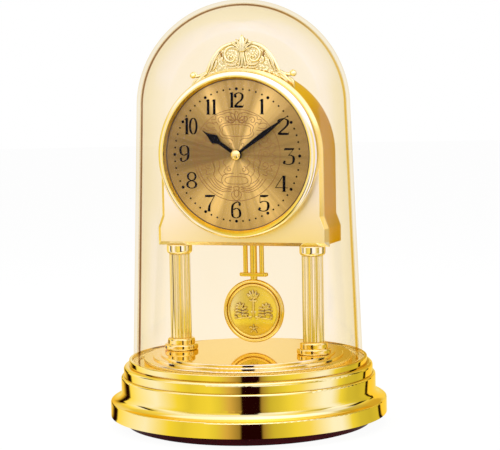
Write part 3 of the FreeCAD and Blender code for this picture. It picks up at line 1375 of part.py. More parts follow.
def make_electrics():
    """Circuit board with its chip, motor stator and coil, and the coil that drives the pendulum."""
    board_front = bridge_front + s.board_thickness
    board = block("board", -s.board_left, s.board_width - s.board_left, s.board_bottom,
                  s.board_bottom + s.board_height, bridge_front, board_front)
    chip = cylinder("chip", s.chip_radius, board_front, board_front + s.chip_height,
                    s.board_width / 2 - s.board_left, s.board_bottom + s.board_height / 2)
    keep("circuit_board", face_front(fuse("circuit_board", [board, chip])))

    stator_front = bridge_front + s.wheel_thickness
    stator = new_body("motor_stator")
    add_pad(stator, "stator", rectangle(s.stator_left, s.stator_left + s.stator_width,
                                        -s.stator_bottom, s.stator_height - s.stator_bottom),
            bridge_front, stator_front)
    keep("motor_stator", face_front(stator))
    coil_y = s.stator_height / 2 - s.stator_bottom
    coil_forward = stator_front + s.motor_coil_radius
    left = s.stator_left + (s.stator_width - s.motor_coil_length) / 2
    right = left + s.motor_coil_length
    winding = lying_cylinder("winding", s.motor_coil_radius * s.coil_core_share, left, right,
                             coil_y, coil_forward)
    flanges = [lying_cylinder("coil_flange", s.motor_coil_radius, start, start + s.coil_flange,
                              coil_y, coil_forward) for start in (left, right - s.coil_flange)]
    keep("motor_coil", face_front(fuse("motor_coil", [winding] + flanges)))

    coil_back = s.housing_front_skin - s.housing_back
    coil_height = s.magnet_height - s.dial_height
    ring = cylinder("drive_coil_ring", s.drive_coil_radius, coil_back,
                    coil_back + s.drive_coil_thickness, 0, coil_height)
    bore = cylinder("drive_coil_hole", s.drive_coil_bore, coil_back - s.overrun,
                    coil_back + s.drive_coil_thickness + s.overrun, 0, coil_height)
    keep("drive_coil", face_front(cut("drive_coil", ring, [bore])))


# Pendulum
def make_pendulum():
    """Hanger on its pin, magnet, yoke, three rods and the crossbar."""
    middle = -s.pendulum_behind
    hanger_back = middle - s.hanger_thickness / 2
    hanger_front = middle + s.hanger_thickness / 2
    yoke_y = s.yoke_top - s.dial_height

    head_front = hanger_back - s.hanger_side_gap
    pin = cylinder("pivot_pin", s.pivot_radius,
                   head_front, s.housing_front_skin - s.housing_back, 0, pivot_y)
    head = cylinder("pivot_head", s.pivot_head_radius,
                    head_front - s.pivot_head_length, head_front, 0, pivot_y)
    keep("pendulum_pivot", face_front(fuse("pendulum_pivot", [pin, head])))

    eye = cylinder("hanger_eye", s.hanger_eye_radius, hanger_back, hanger_front, 0, pivot_y)
    arm = block("hanger_arm", -s.hanger_half_width, s.hanger_half_width, yoke_y, pivot_y,
                hanger_back, hanger_front)
    eye_hole = cylinder("hanger_hole", s.pivot_radius + s.running_gap, hanger_back - s.overrun,
                        hanger_front + s.overrun, 0, pivot_y)
    keep("pendulum_hanger", face_front(cut("pendulum_hanger", fuse("hanger_solid", [eye, arm]), [eye_hole])))

    magnet = new_body("pendulum_magnet")
    add_pad(magnet, "magnet", (0, s.magnet_height - s.dial_height, s.magnet_radius),
            hanger_front, hanger_front + s.magnet_thickness)
    keep("pendulum_magnet", face_front(magnet))

    yoke_bottom = s.yoke_top - s.yoke_height
    y = s.pendulum_behind
    keep("pendulum_yoke", block("pendulum_yoke", -s.yoke_half_width, s.yoke_half_width,
                                y - s.yoke_half_depth, y + s.yoke_half_depth, yoke_bottom, s.yoke_top))
    rods = [cylinder("side_rod", s.side_rod_radius, s.crossbar_top, yoke_bottom,
                     s.side_rod_offset * sign, y)
            for side, sign in SIDES]
    keep("pendulum_side_rods", group("pendulum_side_rods", rods))
    rod_low = s.bob_height + s.bob_radius - s.centre_rod_radius
    centre = cylinder("centre_rod", s.centre_rod_radius, rod_low, yoke_bottom, 0, y)
    saddle = doc.addObject("Part::Cylinder", "rod_saddle")
    bind(saddle, "Radius", s.bob_radius + s.running_gap)
    bind(saddle, "Height", s.centre_rod_radius * 4)
    move(saddle, 0, y + s.centre_rod_radius * 2, s.bob_height, axis=(1, 0, 0), angle=90)
    keep("pendulum_centre_rod", cut("pendulum_centre_rod", centre, [saddle]))

    bar = new_body("pendulum_crossbar")
    straight = s.crossbar_half_width - s.crossbar_half_depth
    deep = s.crossbar_half_depth
    plate = add_pad(bar, "crossbar", [
        (straight, -deep),
        Arc(s.crossbar_half_width, 0, straight, 0),
        Arc(straight, deep, straight, 0),
        (-straight, deep),
        Arc(-s.crossbar_half_width, 0, -straight, 0),
        Arc(-straight, -deep, -straight, 0)], s.crossbar_bottom, s.crossbar_top)
    doc.recompute()
    edges = ["Edge%d" % index for index, edge in enumerate(bar.Shape.Edges, 1)
             if edge.BoundBox.ZLength < value_of(s.running_gap)]
    rounding = bar.newObject("PartDesign::Fillet", "crossbar_rounding")
    rounding.Base = (plate, edges)
    bind(rounding, "Radius", s.crossbar_edge)
    add_pocket(bar, "crossbar_hole", (0, 0, s.centre_rod_radius + s.running_gap),
               s.crossbar_bottom - s.overrun, s.crossbar_top + s.overrun)
    keep("pendulum_crossbar", move(bar, 0, y))


def bob_frame(thing):
    """Stand a turned piece of the bob on its own axis, front towards the viewer."""
    return move(thing, y=s.pendulum_behind, z=s.bob_height, axis=(1, 0, 0), angle=90)


def make_bob():
    """Two moulded rims back to back, a disc in each and a weight between them."""
    front = s.bob_half_thickness
    recess = front - s.medallion_depth
    seat = recess - s.medallion_thickness
    shoulder = s.bob_radius - s.rim_step
    bore = s.medallion_radius + s.medallion_lap

    def rim_outline(sign):
        return [
            (bore, s.bob_groove * sign),
            (s.bob_radius, s.bob_groove * sign),
            (s.bob_radius, (front - s.rim_round - s.bob_groove) * sign),
            Arc(s.bob_radius - s.rim_round, (front - s.bob_groove) * sign,
                s.bob_radius - s.rim_round, (front - s.rim_round - s.bob_groove) * sign),
            (shoulder, (front - s.bob_groove) * sign),
            (shoulder, front * sign),
            (s.medallion_radius, recess * sign),
            (bore, recess * sign)]

    def disc_outline(sign):
        swell = s.medallion_dome
        curve = (s.medallion_radius * s.medallion_radius + swell * swell) / (swell * 2)
        top = (recess + swell) * sign
        return [
            (0, seat * sign),
            (bore - s.running_gap, seat * sign),
            (bore - s.running_gap, recess * sign),
            (s.medallion_radius, recess * sign),
            Arc(0, top, 0, top - curve * sign)]

    keep("bob_front_rim", bob_frame(turned("bob_front_rim", rim_outline(1))))
    keep("bob_back_rim", bob_frame(turned("bob_back_rim", rim_outline(-1))))
    keep("bob_medallion", bob_frame(turned("bob_medallion", disc_outline(1))))
    keep("bob_back_disc", bob_frame(turned("bob_back_disc", disc_outline(-1))))
    core = bore - s.running_gap
    keep("bob_weight", bob_frame(turned("bob_weight", [(0, -seat), (core, -seat), (core, seat), (0, seat)])))


make_felt()
make_plinth()
make_ballast()
make_base_screws()
make_base_shell()
make_floor_plate()
make_dome_seal()
make_dome()
for side, sign in SIDES:
    make_column(side, sign)
make_tie_rods()
make_case_front()
make_case_body()
make_case_back()
make_back_door()
make_crest()
make_bezel()
make_dial()
make_hands()
make_movement_front()
make_movement_back()
make_train_bridge()
make_mounting_nut()
make_wheels()
make_battery()
make_electrics()
make_pendulum()
make_bob()

# Check every object and every piece before anything is written
doc.recompute()
faults = [thing.Name for thing in doc.Objects if "Invalid" in thing.State or "Error" in thing.State]
for label, thing in PARTS:
    if thing.Shape.isNull() or not thing.Shape.isValid() or not thing.Shape.Solids:
        faults.append(label)
if faults:
    raise RuntimeError("failed: " + ", ".join(faults))

os.makedirs("parts", exist_ok=True)
for label, thing in PARTS:
    thing.Shape.exportStep("parts/%s.step" % label)
print(len(PARTS), "pieces written")
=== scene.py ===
import json
import math

import bmesh
import bpy
from mathutils import Matrix, Vector


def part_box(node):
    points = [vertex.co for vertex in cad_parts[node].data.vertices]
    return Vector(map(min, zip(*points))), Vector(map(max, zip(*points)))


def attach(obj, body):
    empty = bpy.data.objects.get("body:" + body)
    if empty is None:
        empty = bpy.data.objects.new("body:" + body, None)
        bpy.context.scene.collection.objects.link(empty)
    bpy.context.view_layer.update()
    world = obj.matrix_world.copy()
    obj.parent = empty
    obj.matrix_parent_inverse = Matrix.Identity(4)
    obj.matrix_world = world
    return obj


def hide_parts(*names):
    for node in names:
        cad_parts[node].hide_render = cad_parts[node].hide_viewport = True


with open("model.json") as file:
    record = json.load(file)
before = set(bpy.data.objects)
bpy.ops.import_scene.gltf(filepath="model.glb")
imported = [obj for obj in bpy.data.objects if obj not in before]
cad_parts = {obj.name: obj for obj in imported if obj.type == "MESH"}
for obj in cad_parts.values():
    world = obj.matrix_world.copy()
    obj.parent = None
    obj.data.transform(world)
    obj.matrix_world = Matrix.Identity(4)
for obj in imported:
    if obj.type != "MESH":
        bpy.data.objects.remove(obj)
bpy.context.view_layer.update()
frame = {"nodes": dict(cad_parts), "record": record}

scene = bpy.context.scene
NODES = frame["nodes"]
MM = 0.001
TAU = 2 * math.pi

# Places taken from the CAD nodes, in metres
dial_low, dial_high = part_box("dial")
DIAL_X = (dial_low.x + dial_high.x) / 2
DIAL_Z = (dial_low.z + dial_high.z) / 2
medal_low, medal_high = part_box("bob_medallion")
case_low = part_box("case_front")[0]
dome_low, dome_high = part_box("dome")
door_low, door_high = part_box("back_door")
DOME_SPRING = 0.1882  # height at which the dome's half sphere starts
BEZEL_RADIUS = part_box("bezel")[1].x - DIAL_X
BEZEL_SLOPE_RADIUS = 0.0459  # the slope down to the dial ends here
SEAT_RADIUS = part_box("dome_seal")[1].x + 0.0008  # the dome's seat in the base ends here

# The same places in millimetres, which the drawn pieces use
FACE = dial_low.y / MM
CENTRE_H = DIAL_Z / MM
CREST_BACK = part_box("crest")[1].y / MM
CREST_FACE = CREST_BACK - 1.9
BOB_H = (medal_low.z + medal_high.z) / 2 / MM
MEDAL_FACE = medal_low.y / MM - 0.02


# Node trees

def linear(red, green, blue):
    """A colour given as 0 to 255 screen values, as the linear values that shaders take."""
    out = []
    for value in (red, green, blue):
        value /= 255
        out.append(value / 12.92 if value <= 0.04045 else ((value + 0.055) / 1.055) ** 2.4)
    return tuple(out)


class Nodes:
    """The node tree of a material or of the world, with short calls for the nodes that they need."""

    def __init__(self, owner, out_kind="OutputMaterial"):
        owner.use_nodes = True
        self.data = owner
        self.tree = owner.node_tree
        self.tree.nodes.clear()
        self.out = self.add(out_kind)
        self.place = None

    def add(self, kind, values=None, **settings):
        """A node with its settings, and its sockets' values, which may be outputs of other nodes."""
        node = self.tree.nodes.new("ShaderNode" + kind)
        for key, value in settings.items():
            setattr(node, key, value)
        for key, value in (values or {}).items():
            if isinstance(value, bpy.types.NodeSocket):
                self.tree.links.new(value, node.inputs[key])
            elif value is not None:
                opaque = isinstance(value, tuple) and len(value) == 3
                node.inputs[key].default_value = (*value, 1.0) if opaque else value
        return node

    def show(self, shader):
        self.tree.links.new(shader.outputs[0], self.out.inputs["Surface"])

    def position(self):
        if self.place is None:
            self.place = self.add("TexCoord").outputs["Object"]
        return self.place

    def split(self, vector=None):
        """The x, y and z of a vector, or of the place on the part."""
        return self.add("SeparateXYZ", {0: self.position() if vector is None else vector}).outputs

    def join(self, x, y, z):
        return self.add("CombineXYZ", {0: x, 1: y, 2: z}).outputs[0]

    def math(self, operation, first, second=None, clamp=False):
        values = {0: first, 1: second}
        return self.add("Math", values, operation=operation, use_clamp=clamp).outputs[0]

    def times(self, first, second):
        return self.math("MULTIPLY", first, second)

    def length(self, *parts):
        """The length of a vector given by its parts."""
        total = self.times(parts[0], parts[0])
        for part in parts[1:]:
            total = self.math("ADD", total, self.times(part, part))
        return self.math("SQRT", total)

    def from_dial(self):
        """The distances to the right of the dial's centre and above it."""
        x, y, z = self.split()
        return self.math("SUBTRACT", x, DIAL_X), self.math("SUBTRACT", z, DIAL_Z)

    def fit(self, value, low, high, new_low=0.0, new_high=1.0):
        values = {0: value, 1: low, 2: high, 3: new_low, 4: new_high}
        return self.add("MapRange", values).outputs[0]

    def noise(self, scale, detail=2.0, rough=0.5, vector=None):
        values = {"Vector": self.position() if vector is None else vector, "Scale": scale, "Detail": detail,
                  "Roughness": rough}
        return self.add("TexNoise", values).outputs["Fac"]

    def vary(self, noise, new_low=0.0, new_high=1.0):
        """The middle of a noise's range spread over new limits."""
        return self.fit(noise, 0.3, 0.7, new_low, new_high)

    def ramp(self, value, stops):
        node = self.add("ValToRGB", {0: value})
        bar = node.color_ramp
        while len(bar.elements) < len(stops):
            bar.elements.new(0.5)
        for element, (place, colour) in zip(bar.elements, stops):
            element.position = place
        for element, (place, colour) in zip(bar.elements, stops):
            element.color = (*colour, 1.0) if isinstance(colour, tuple) else (colour, colour, colour, 1.0)
        return node.outputs[0]

    def blend(self, share, first, second):
        return self.add("Mix", {0: share, 6: first, 7: second}, data_type="RGBA").outputs[2]

    def tones(self, deep, pale, scale, detail=2.0):
        """Two near colours in soft patches."""
        return self.blend(self.vary(self.noise(scale, detail)), deep, pale)

    def bump(self, height, distance, strength=1.0, under=None):
        values = {"Strength": strength, "Distance": distance, "Height": height, "Normal": under}
        return self.add("Bump", values).outputs[0]

    def crevice_shade(self, reach):
        """1 in the open and less in grooves narrower than the reach; the looks paint shade with it."""
        return self.add("AmbientOcclusion", {"Distance": reach}, samples=6).outputs["AO"]

    def seen(self):
        """1 for rays of the camera, of mirrors and through glass; 0 for those that gather soft light."""
        rays = self.add("LightPath").outputs
        others = self.math("MAXIMUM", rays["Is Glossy Ray"], rays["Is Transmission Ray"])
        return self.math("MAXIMUM", rays["Is Camera Ray"], others)

    def shader(self, colour, roughness, metallic=0.0, normal=None, **others):
        values = {"Base Color": colour, "Roughness": roughness, "Metallic": metallic, "Normal": normal}
        values.update({key.replace("_", " "): value for key, value in others.items()})
        self.show(self.add("BsdfPrincipled", values))

    def mix(self, share, first, second):
        """Shows the second shader by the share, and the first one for the rest."""
        self.show(self.add("MixShader", {0: share, 1: first.outputs[0], 2: second.outputs[0]}))


# Looks. Every maker fills one material's nodes.

GOLD_PALE = (0.98, 0.8, 0.28)
GOLD_DEEP = (0.94, 0.72, 0.2)
SEAT_GOLD = (1.0, 0.94, 0.66)
LACQUER = {"Coat_Roughness": 0.03, "IOR": 1.5, "Specular_Tint": (1.0, 0.84, 0.42)}


def plated_gold(m, pale, deep, roughness, crevice_shade=None, shade=None, spread=0.03, wave=0.000012):
    """Lacquered gold plating: slight unevenness in colour and gloss, shallow waves from polishing, and, when
    a reach is given, painted shade in hollows narrower than it.
    """
    colour = m.tones(deep, pale, 26, 3)
    # Painted shade: narrow hollows take the shade colour
    if crevice_shade:
        colour = m.blend(m.fit(m.crevice_shade(crevice_shade), 0.45, 0.93), shade, colour)
    gloss = m.fit(m.noise(900, 3, 0.6), 0.35, 0.65, roughness - spread / 2, roughness + spread)
    m.shader(colour, gloss, 1.0, m.bump(m.noise(70), wave), Coat_Weight=0.5, **LACQUER)


def turned_gold(m, pale, deep, roughness, lines, groove=None):
    """Gold plating over spun metal: fine rings round the vertical axis, grooves darkened by a painted dark
    reflection, a pale seat.
    """
    x, y, z = m.split()
    radius = m.length(x, y)
    rings = m.noise(2600, 3, 0.65, m.join(radius, 0.0, z))
    colour = m.tones(deep, pale, 18)
    if groove:
        seat = m.fit(radius, SEAT_RADIUS - 0.0005, SEAT_RADIUS + 0.0005, 1.0, 0.0)
        # Painted reflection: outside the seat, the grooves take the dark groove colour
        open_share = m.math("MAXIMUM", m.fit(m.crevice_shade(0.0013), 0.4, 0.8), seat)
        colour = m.blend(open_share, groove, m.blend(seat, colour, SEAT_GOLD))
    normal = m.bump(rings, lines, 0.8, m.bump(m.noise(45), 0.00001))
    m.shader(colour, m.vary(rings, roughness * 0.7, roughness * 1.5), 1.0, normal, Coat_Weight=0.2, **LACQUER)


def case_gold(m):
    """Fine satin gold on the flat front, painted warmer towards its foot as shade; polished gold on its
    bevel, with a painted highlight at the bottom.
    """
    x, y, z = m.split()
    edge_from = case_low.y + 0.0001
    polished = m.fit(y, edge_from, edge_from + 0.00015)
    grain = m.noise(5200, 2, 0.6)
    satin = m.tones((0.96, 0.87, 0.6), (0.985, 0.93, 0.72), 14)
    # Painted shade: the satin turns warmer and darker towards the foot
    satin = m.blend(m.fit(z, case_low.z, case_low.z + 0.045, 1.0, 0.0), satin, (0.98, 0.85, 0.4))
    # Painted highlight: the bottom bevel is near white
    bottom_bevel_highlight = m.fit(z, case_low.z + 0.0023, case_low.z + 0.003, 1.0, 0.0)
    bright = m.blend(bottom_bevel_highlight, m.tones(GOLD_DEEP, GOLD_PALE, 14), (1.0, 0.98, 0.86))
    gloss = m.fit(polished, 0.0, 1.0, m.vary(grain, 0.3, 0.4), 0.17)
    normal = m.bump(grain, 0.0000035, m.fit(polished, 0.0, 1.0, 0.6, 0.05))
    m.shader(m.blend(polished, satin, bright), gloss, 1.0, normal, Coat_Weight=0.3, Coat_Roughness=0.12,
             IOR=1.5)


def body_gold(m, pale, deep):
    """Satin gold of the case's sides, with a fine lengthwise brushing."""
    x, y, z = m.split()
    brushed = m.noise(900, 3, 0.6, m.join(x, m.times(y, 0.08), z))
    m.shader(m.tones(deep, pale, 12), m.vary(brushed, 0.14, 0.18), 1.0, m.bump(brushed, 0.0000012, 0.5),
             Coat_Weight=0.1, Coat_Roughness=0.1, IOR=1.5, Specular_Tint=(1.0, 0.82, 0.24))


def dial_gold(m):
    """Champagne gold with a brushed sunburst and painted sheen: broad lighter and darker sectors round the
    centre, where the light would catch the brushing.
    """
    across, above = m.from_dial()
    angle = m.math("ARCTAN2", across, above)
    radius = m.length(across, above)
    ray_x, ray_z = m.math("SINE", angle), m.math("COSINE", angle)
    rays = m.noise(95, 4, 0.75, m.join(ray_x, m.times(radius, 1.2), ray_z))
    coarse = m.noise(9, 2, 0.5, m.join(ray_x, 3.0, ray_z))
    # Painted sheen: the ramp's lighter sectors stand where the brushing would catch the light
    turn = m.math("DIVIDE", m.math("ADD", angle, math.pi), TAU)
    # The turn runs clockwise from 6 o'clock (0) past 9 (0.25), 12 (0.5) and 3 (0.75)
    sectors = m.ramp(turn, [
        (0.0, 0.58), (0.035, 0.62), (0.075, 1.0), (0.115, 0.66), (0.17, 0.3), (0.25, 0.0), (0.345, 0.2),
        (0.405, 0.6), (0.43, 1.0), (0.455, 0.58), (0.5, 0.48), (0.548, 0.55), (0.575, 1.0), (0.605, 0.72),
        (0.66, 0.34), (0.75, 0.2), (0.83, 0.32), (0.88, 0.66), (0.915, 1.0), (0.955, 0.66), (1.0, 0.58)])
    sheen = m.math("ADD", sectors, m.fit(coarse, 0.35, 0.65, -0.12, 0.12))
    sheen = m.math("ADD", sheen, m.vary(rays, -0.07, 0.07), True)
    colour = m.ramp(sheen, [(0.0, linear(121, 98, 48)), (0.45, linear(168, 140, 74)),
                            (1.0, linear(228, 196, 116))])
    colour = m.blend(m.fit(radius, 0.034, 0.0455, 0.0, 0.35), colour, linear(166, 136, 76))
    m.shader(colour, m.vary(rays, 0.42, 0.55), 0.55, m.bump(rays, 0.000012, 0.5), Specular_IOR_Level=0.4)


def bezel_ring(m):
    """Polished gold ring with painted light: a pale painted highlight on its outer round, paler still on its
    flank, and a deeper painted reflection on the slope down to the dial.
    """
    radius = m.length(*m.from_dial())
    slope = m.fit(radius, BEZEL_SLOPE_RADIUS, BEZEL_SLOPE_RADIUS + 0.0009)
    flank = m.fit(radius, BEZEL_RADIUS - 0.0012, BEZEL_RADIUS - 0.0006)
    # Painted light: deeper gold on the slope is painted reflection; the paler round and flank are painted
    # highlight
    colour = m.blend(flank, m.blend(slope, (0.98, 0.75, 0.08), (0.99, 0.89, 0.46)), (1.0, 0.93, 0.68))
    gloss = m.fit(m.noise(900, 3, 0.6), 0.35, 0.65, 0.08, 0.12)
    m.shader(colour, gloss, 1.0, m.bump(m.noise(70), 0.000012), Coat_Weight=0.5, **LACQUER)


def carved_ground(m):
    """The crest's ground between its carving, punched with small pits, with painted shade in the low places
    between them and round the carving.
    """
    pits = m.add("TexVoronoi", {"Vector": m.position(), "Scale": 820.0}).outputs["Distance"]
    # Painted shade: darker in the low places between the punch marks
    colour = m.blend(m.fit(pits, 0.25, 0.62, 0.0, 0.8), (0.99, 0.9, 0.46), (0.7, 0.55, 0.11))
    # Painted shade round the carving
    colour = m.blend(m.fit(m.crevice_shade(0.0016), 0.35, 0.95), (0.55, 0.4, 0.05), colour)
    m.shader(colour, 0.2, 1.0, m.bump(m.fit(pits, 0.05, 0.5, 1.0, 0.0), 0.00025, 0.9), Coat_Weight=0.4)


def engraved_line(m):
    colour = m.ramp(m.noise(300), [(0.3, linear(114, 68, 20)), (0.7, linear(134, 84, 26))])
    m.shader(colour, 0.6, 0.0, m.bump(m.noise(1800), 0.00001))


def plain(m, pale, deep, roughness, scale=2500.0, depth=0.00002, others=None):
    """A moulded or painted surface with a fine grain and a little variation in colour."""
    grain = m.noise(scale, 3, 0.6)
    gloss = m.vary(grain, roughness - 0.05, roughness + 0.05)
    m.shader(m.tones(deep, pale, 60), gloss, 0.0, m.bump(grain, depth), **(others or {}))


def felt_cloth(m, pale, deep, depth=0.0002):
    """Pressed felt: matted short fibres."""
    fibres = m.noise(3800, 6, 0.8)
    tufts = m.math("ADD", m.noise(420, 4, 0.7), 0.5)
    colour = m.blend(m.fit(m.times(fibres, tufts), 0.3, 0.75), deep, pale)
    m.shader(colour, 0.95, 0.0, m.bump(fibres, depth, 0.8), Sheen_Weight=0.4, Sheen_Roughness=0.5)


def cast_metal(m):
    """Rough cast iron with shallow pits."""
    pits = m.noise(700, 6, 0.7)
    colour = m.ramp(pits, [(0.3, linear(58, 56, 54)), (0.7, linear(98, 95, 92))])
    m.shader(colour, m.vary(pits, 0.7, 0.5), 0.8, m.bump(pits, 0.0003))


def wound_wire(m, axis):
    """Enamelled copper wire in close turns along an axis, 0 to 2 for x to z; painted darker between the turns
    and paler on their crowns, as shade and highlight.
    """
    wire = 0.00025
    turns = m.math("ABSOLUTE", m.math("SINE", m.times(m.split()[axis], math.pi / wire)))
    colour = m.ramp(turns, [(0.0, linear(88, 36, 14)), (0.6, linear(184, 96, 44)),
                            (1.0, linear(226, 142, 84))])
    m.shader(colour, 0.3, 0.9, m.bump(turns, 0.00008), Coat_Weight=0.5)


def printed_sleeve(m):
    """A dry cell's sleeve: dark with a plain copper-coloured band at one end."""
    band = m.fit(m.split()[0], 0.0118, 0.0121)
    wear = m.noise(400, 4, 0.6)
    colour = m.blend(band, linear(34, 34, 37), linear(184, 112, 52))
    colour = m.blend(m.fit(wear, 0.62, 0.75, 0.0, 0.35), colour, linear(120, 118, 116))
    m.shader(colour, m.vary(wear, 0.24, 0.36), 0.5, m.bump(wear, 0.00002), Coat_Weight=0.4)


def circuit(m):
    """Green laminate with pale slanting tracks under the lacquer."""
    x, y, z = m.split()
    lines = m.math("ABSOLUTE", m.math("SINE", m.times(m.math("ADD", x, z), 2200)))
    tracks = m.fit(lines, 0.86, 0.92)
    colour = m.tones(linear(18, 74, 44), linear(28, 96, 58), 2600)
    colour = m.blend(m.times(tracks, 0.6), colour, linear(120, 168, 96))
    m.shader(colour, 0.35, 0.0, m.bump(tracks, 0.00003), Coat_Weight=0.6)


def brushed_metal(m, pale, deep, roughness):
    x, y, z = m.split()
    lines = m.noise(1500, 3, 0.6, m.join(x, m.times(y, 0.1), z))
    gloss = m.vary(lines, roughness - 0.08, roughness + 0.1)
    m.shader(m.blend(m.vary(lines), deep, pale), gloss, 1.0, m.bump(lines, 0.00001, 0.6))


def back_cover(m):
    """Dark moulded plastic whose narrow edge is plated like the case."""
    normal_y = m.split(m.add("TexCoord").outputs["Normal"])[1]
    edge = m.fit(m.math("ABSOLUTE", normal_y), 0.5, 0.6, 1.0, 0.0)
    grain = m.noise(1500, 3, 0.6)
    colour = m.blend(edge, m.tones(linear(36, 32, 30), linear(50, 45, 41), 60), (0.9, 0.68, 0.24))
    gloss = m.fit(edge, 0.0, 1.0, m.vary(grain, 0.46, 0.58), 0.25)
    m.shader(colour, gloss, edge, m.bump(grain, 0.00006))


def clear_dome(m, tint, left_line, right_line):
    """Thin blown glass: tinted at each wall that light passes, glossy, darker where it is seen edge on."""
    facing = m.add("LayerWeight", {"Blend": 0.5}).outputs["Facing"]
    x, y, z = m.split()
    # Painted reflection: the dark line of the thick edge belongs to the outer wall, amber on the left and
    # paler on the right
    over = m.math("MAXIMUM", m.math("SUBTRACT", z, DOME_SPRING), 0.0)
    wall = m.fit(z, dome_low.z, DOME_SPRING, dome_high.x, dome_high.z - DOME_SPRING)
    outer = m.fit(m.math("SUBTRACT", wall, m.length(x, y, over)), 0.0008, 0.001, 1.0, 0.0)
    line = m.ramp(facing, [(0.0, 0.0), (0.658, 0.0), (0.674, 1.0), (0.708, 1.0), (0.724, 0.0)])
    glass = m.ramp(facing, [
        (0.0, tint), (0.36, tint), (0.62, (0.978, 0.938, 0.835)), (0.72, (0.965, 0.925, 0.84)),
        (0.9, (0.955, 0.905, 0.8)), (1.0, (0.9, 0.8, 0.62))])
    line_colour = m.blend(m.fit(x, 0.015, 0.05), left_line, right_line)
    colour = m.blend(m.times(line, outer), glass, line_colour)
    colour = m.blend(m.fit(m.noise(22, 3), 0.35, 0.65, 0.0, 0.25), colour, (1.0, 0.985, 0.95))
    through = m.add("BsdfTransparent", {"Color": colour})
    gloss = m.add("BsdfGlossy", {"Roughness": 0.02, "Color": (1.0, 0.98, 0.93),
                                           "Normal": m.bump(m.noise(30), 0.00003, 0.4)})
    fresnel = m.add("Fresnel", {"IOR": 1.36}).outputs[0]
    m.mix(m.times(fresnel, 0.055), through, gloss)


# Name, maker and the maker's values. A dark colour after a reach is painted shade in narrow hollows;
# base_gold's dark maroon is a painted dark reflection in its grooves.
LOOK_ROWS = (
    ("polished_gold", plated_gold, GOLD_PALE, GOLD_DEEP, 0.07),
    ("base_gold", turned_gold, (0.97, 0.76, 0.22), (0.93, 0.7, 0.16), 0.06, 0.0000012,
     (0.26, 0.05, 0.01)),
    ("floor_gold", turned_gold, (1.0, 0.91, 0.55), (0.99, 0.88, 0.5), 0.05, 0.0000004),
    ("satin_gold", body_gold, (0.92, 0.72, 0.16), (0.87, 0.65, 0.11)),
    ("front_gold", case_gold),
    ("bezel_gold", bezel_ring),
    ("dial_gold", dial_gold),
    ("carved_gold", plated_gold, (1.0, 0.92, 0.44), (0.98, 0.85, 0.29), 0.12, 0.0014,
     (0.52, 0.37, 0.03), 0.05, 0.00001),
    ("crest_ground", carved_ground),
    ("medal_gold", plated_gold, (1.0, 0.87, 0.33), (0.97, 0.81, 0.25), 0.13, 0.0014,
     (0.34, 0.17, 0.02), 0.04),
    ("bob_relief_gold", plated_gold, (1.0, 0.88, 0.34), (0.98, 0.8, 0.22), 0.12, 0.0015,
     (0.22, 0.09, 0.01), 0.05),
    ("bob_rim_gold", plated_gold, (0.98, 0.78, 0.2), (0.95, 0.72, 0.14), 0.06, 0.0011,
     (0.6, 0.36, 0.06)),
    ("fluted_gold", plated_gold, (1.0, 0.9, 0.48), (0.99, 0.86, 0.4), 0.07, 0.001,
     (0.78, 0.54, 0.1)),
    ("rod_gold", plated_gold, (0.93, 0.7, 0.07), (0.89, 0.64, 0.05), 0.05),
    ("plinth_maroon", plain, linear(82, 12, 24), linear(62, 8, 17), 0.22, 900.0, 0.00001,
     {"Specular_IOR_Level": 0.06}),
    ("felt", felt_cloth, linear(66, 58, 52), linear(34, 29, 26)),
    ("seal_felt", felt_cloth, linear(250, 234, 168), linear(240, 218, 142), 0.00002),
    ("ballast_iron", cast_metal),
    ("steel", brushed_metal, (0.66, 0.66, 0.68), (0.46, 0.46, 0.48), 0.3),
    ("wheel_brass", brushed_metal, (0.86, 0.62, 0.25), (0.7, 0.48, 0.17), 0.28),
    ("amber_glass", clear_dome, (0.998, 0.962, 0.892), (0.5, 0.32, 0.17), (0.9, 0.72, 0.22)),
    ("hand_black", plain, linear(9, 8, 8), linear(3, 3, 3), 0.5, 3000.0, 0.000002,
     {"Specular_IOR_Level": 0.08}),
    ("back_plastic", plain, linear(66, 60, 55), linear(52, 47, 43), 0.48, 1500.0, 0.00006),
    ("back_cover", back_cover),
    ("movement_plastic", plain, linear(34, 34, 37), linear(24, 24, 27), 0.42, 2200.0, 0.00003),
    ("cream_plastic", plain, linear(232, 224, 204), linear(218, 208, 186), 0.4, 2000.0, 0.00001,
     {"Subsurface_Weight": 0.05}),
    ("magnet", plain, linear(62, 62, 66), linear(44, 44, 48), 0.6, 1800.0, 0.00003),
    ("bead_brown", plain, linear(66, 44, 26), linear(44, 28, 18), 0.45),
    ("slit_shadow", plain, linear(176, 132, 52), linear(150, 106, 38), 0.6),
    ("engraved_line", engraved_line),
    ("board_green", circuit),
    ("copper_coil", wound_wire, 1),
    ("motor_wire", wound_wire, 2),
    ("battery_sleeve", printed_sleeve))
LOOKS = {}
for name, make, *values in LOOK_ROWS:
    filled = Nodes(bpy.data.materials.new(name))
    make(filled, *values)
    LOOKS[name] = filled.data

# Every node looks like its material slot, apart from these
OWN_LOOKS = {node: look for look, nodes in (
    ("front_gold", "case_front"), ("back_cover", "case_back"), ("bezel_gold", "bezel"),
    ("seal_felt", "dome_seal"), ("motor_wire", "motor_coil"), ("medal_gold", "bob_medallion"),
    ("fluted_gold", "column_shaft_left column_shaft_right column_capital_left column_capital_right"),
    ("rod_gold", "pendulum_side_rods pendulum_centre_rod pendulum_crossbar bob_back_rim"),
) for node in nodes.split()}
slot_of = {part["node"]: part["material_slot"] for part in frame["record"]["subparts"]}
for node_name, node in NODES.items():
    node.data.materials.clear()
    node.data.materials.append(LOOKS[OWN_LOOKS.get(node_name, slot_of[node_name])])


# Mesh helpers. Drawn pieces lie in planes facing the front: x to the right, h upward, y in depth.
# Their sizes are in millimetres.

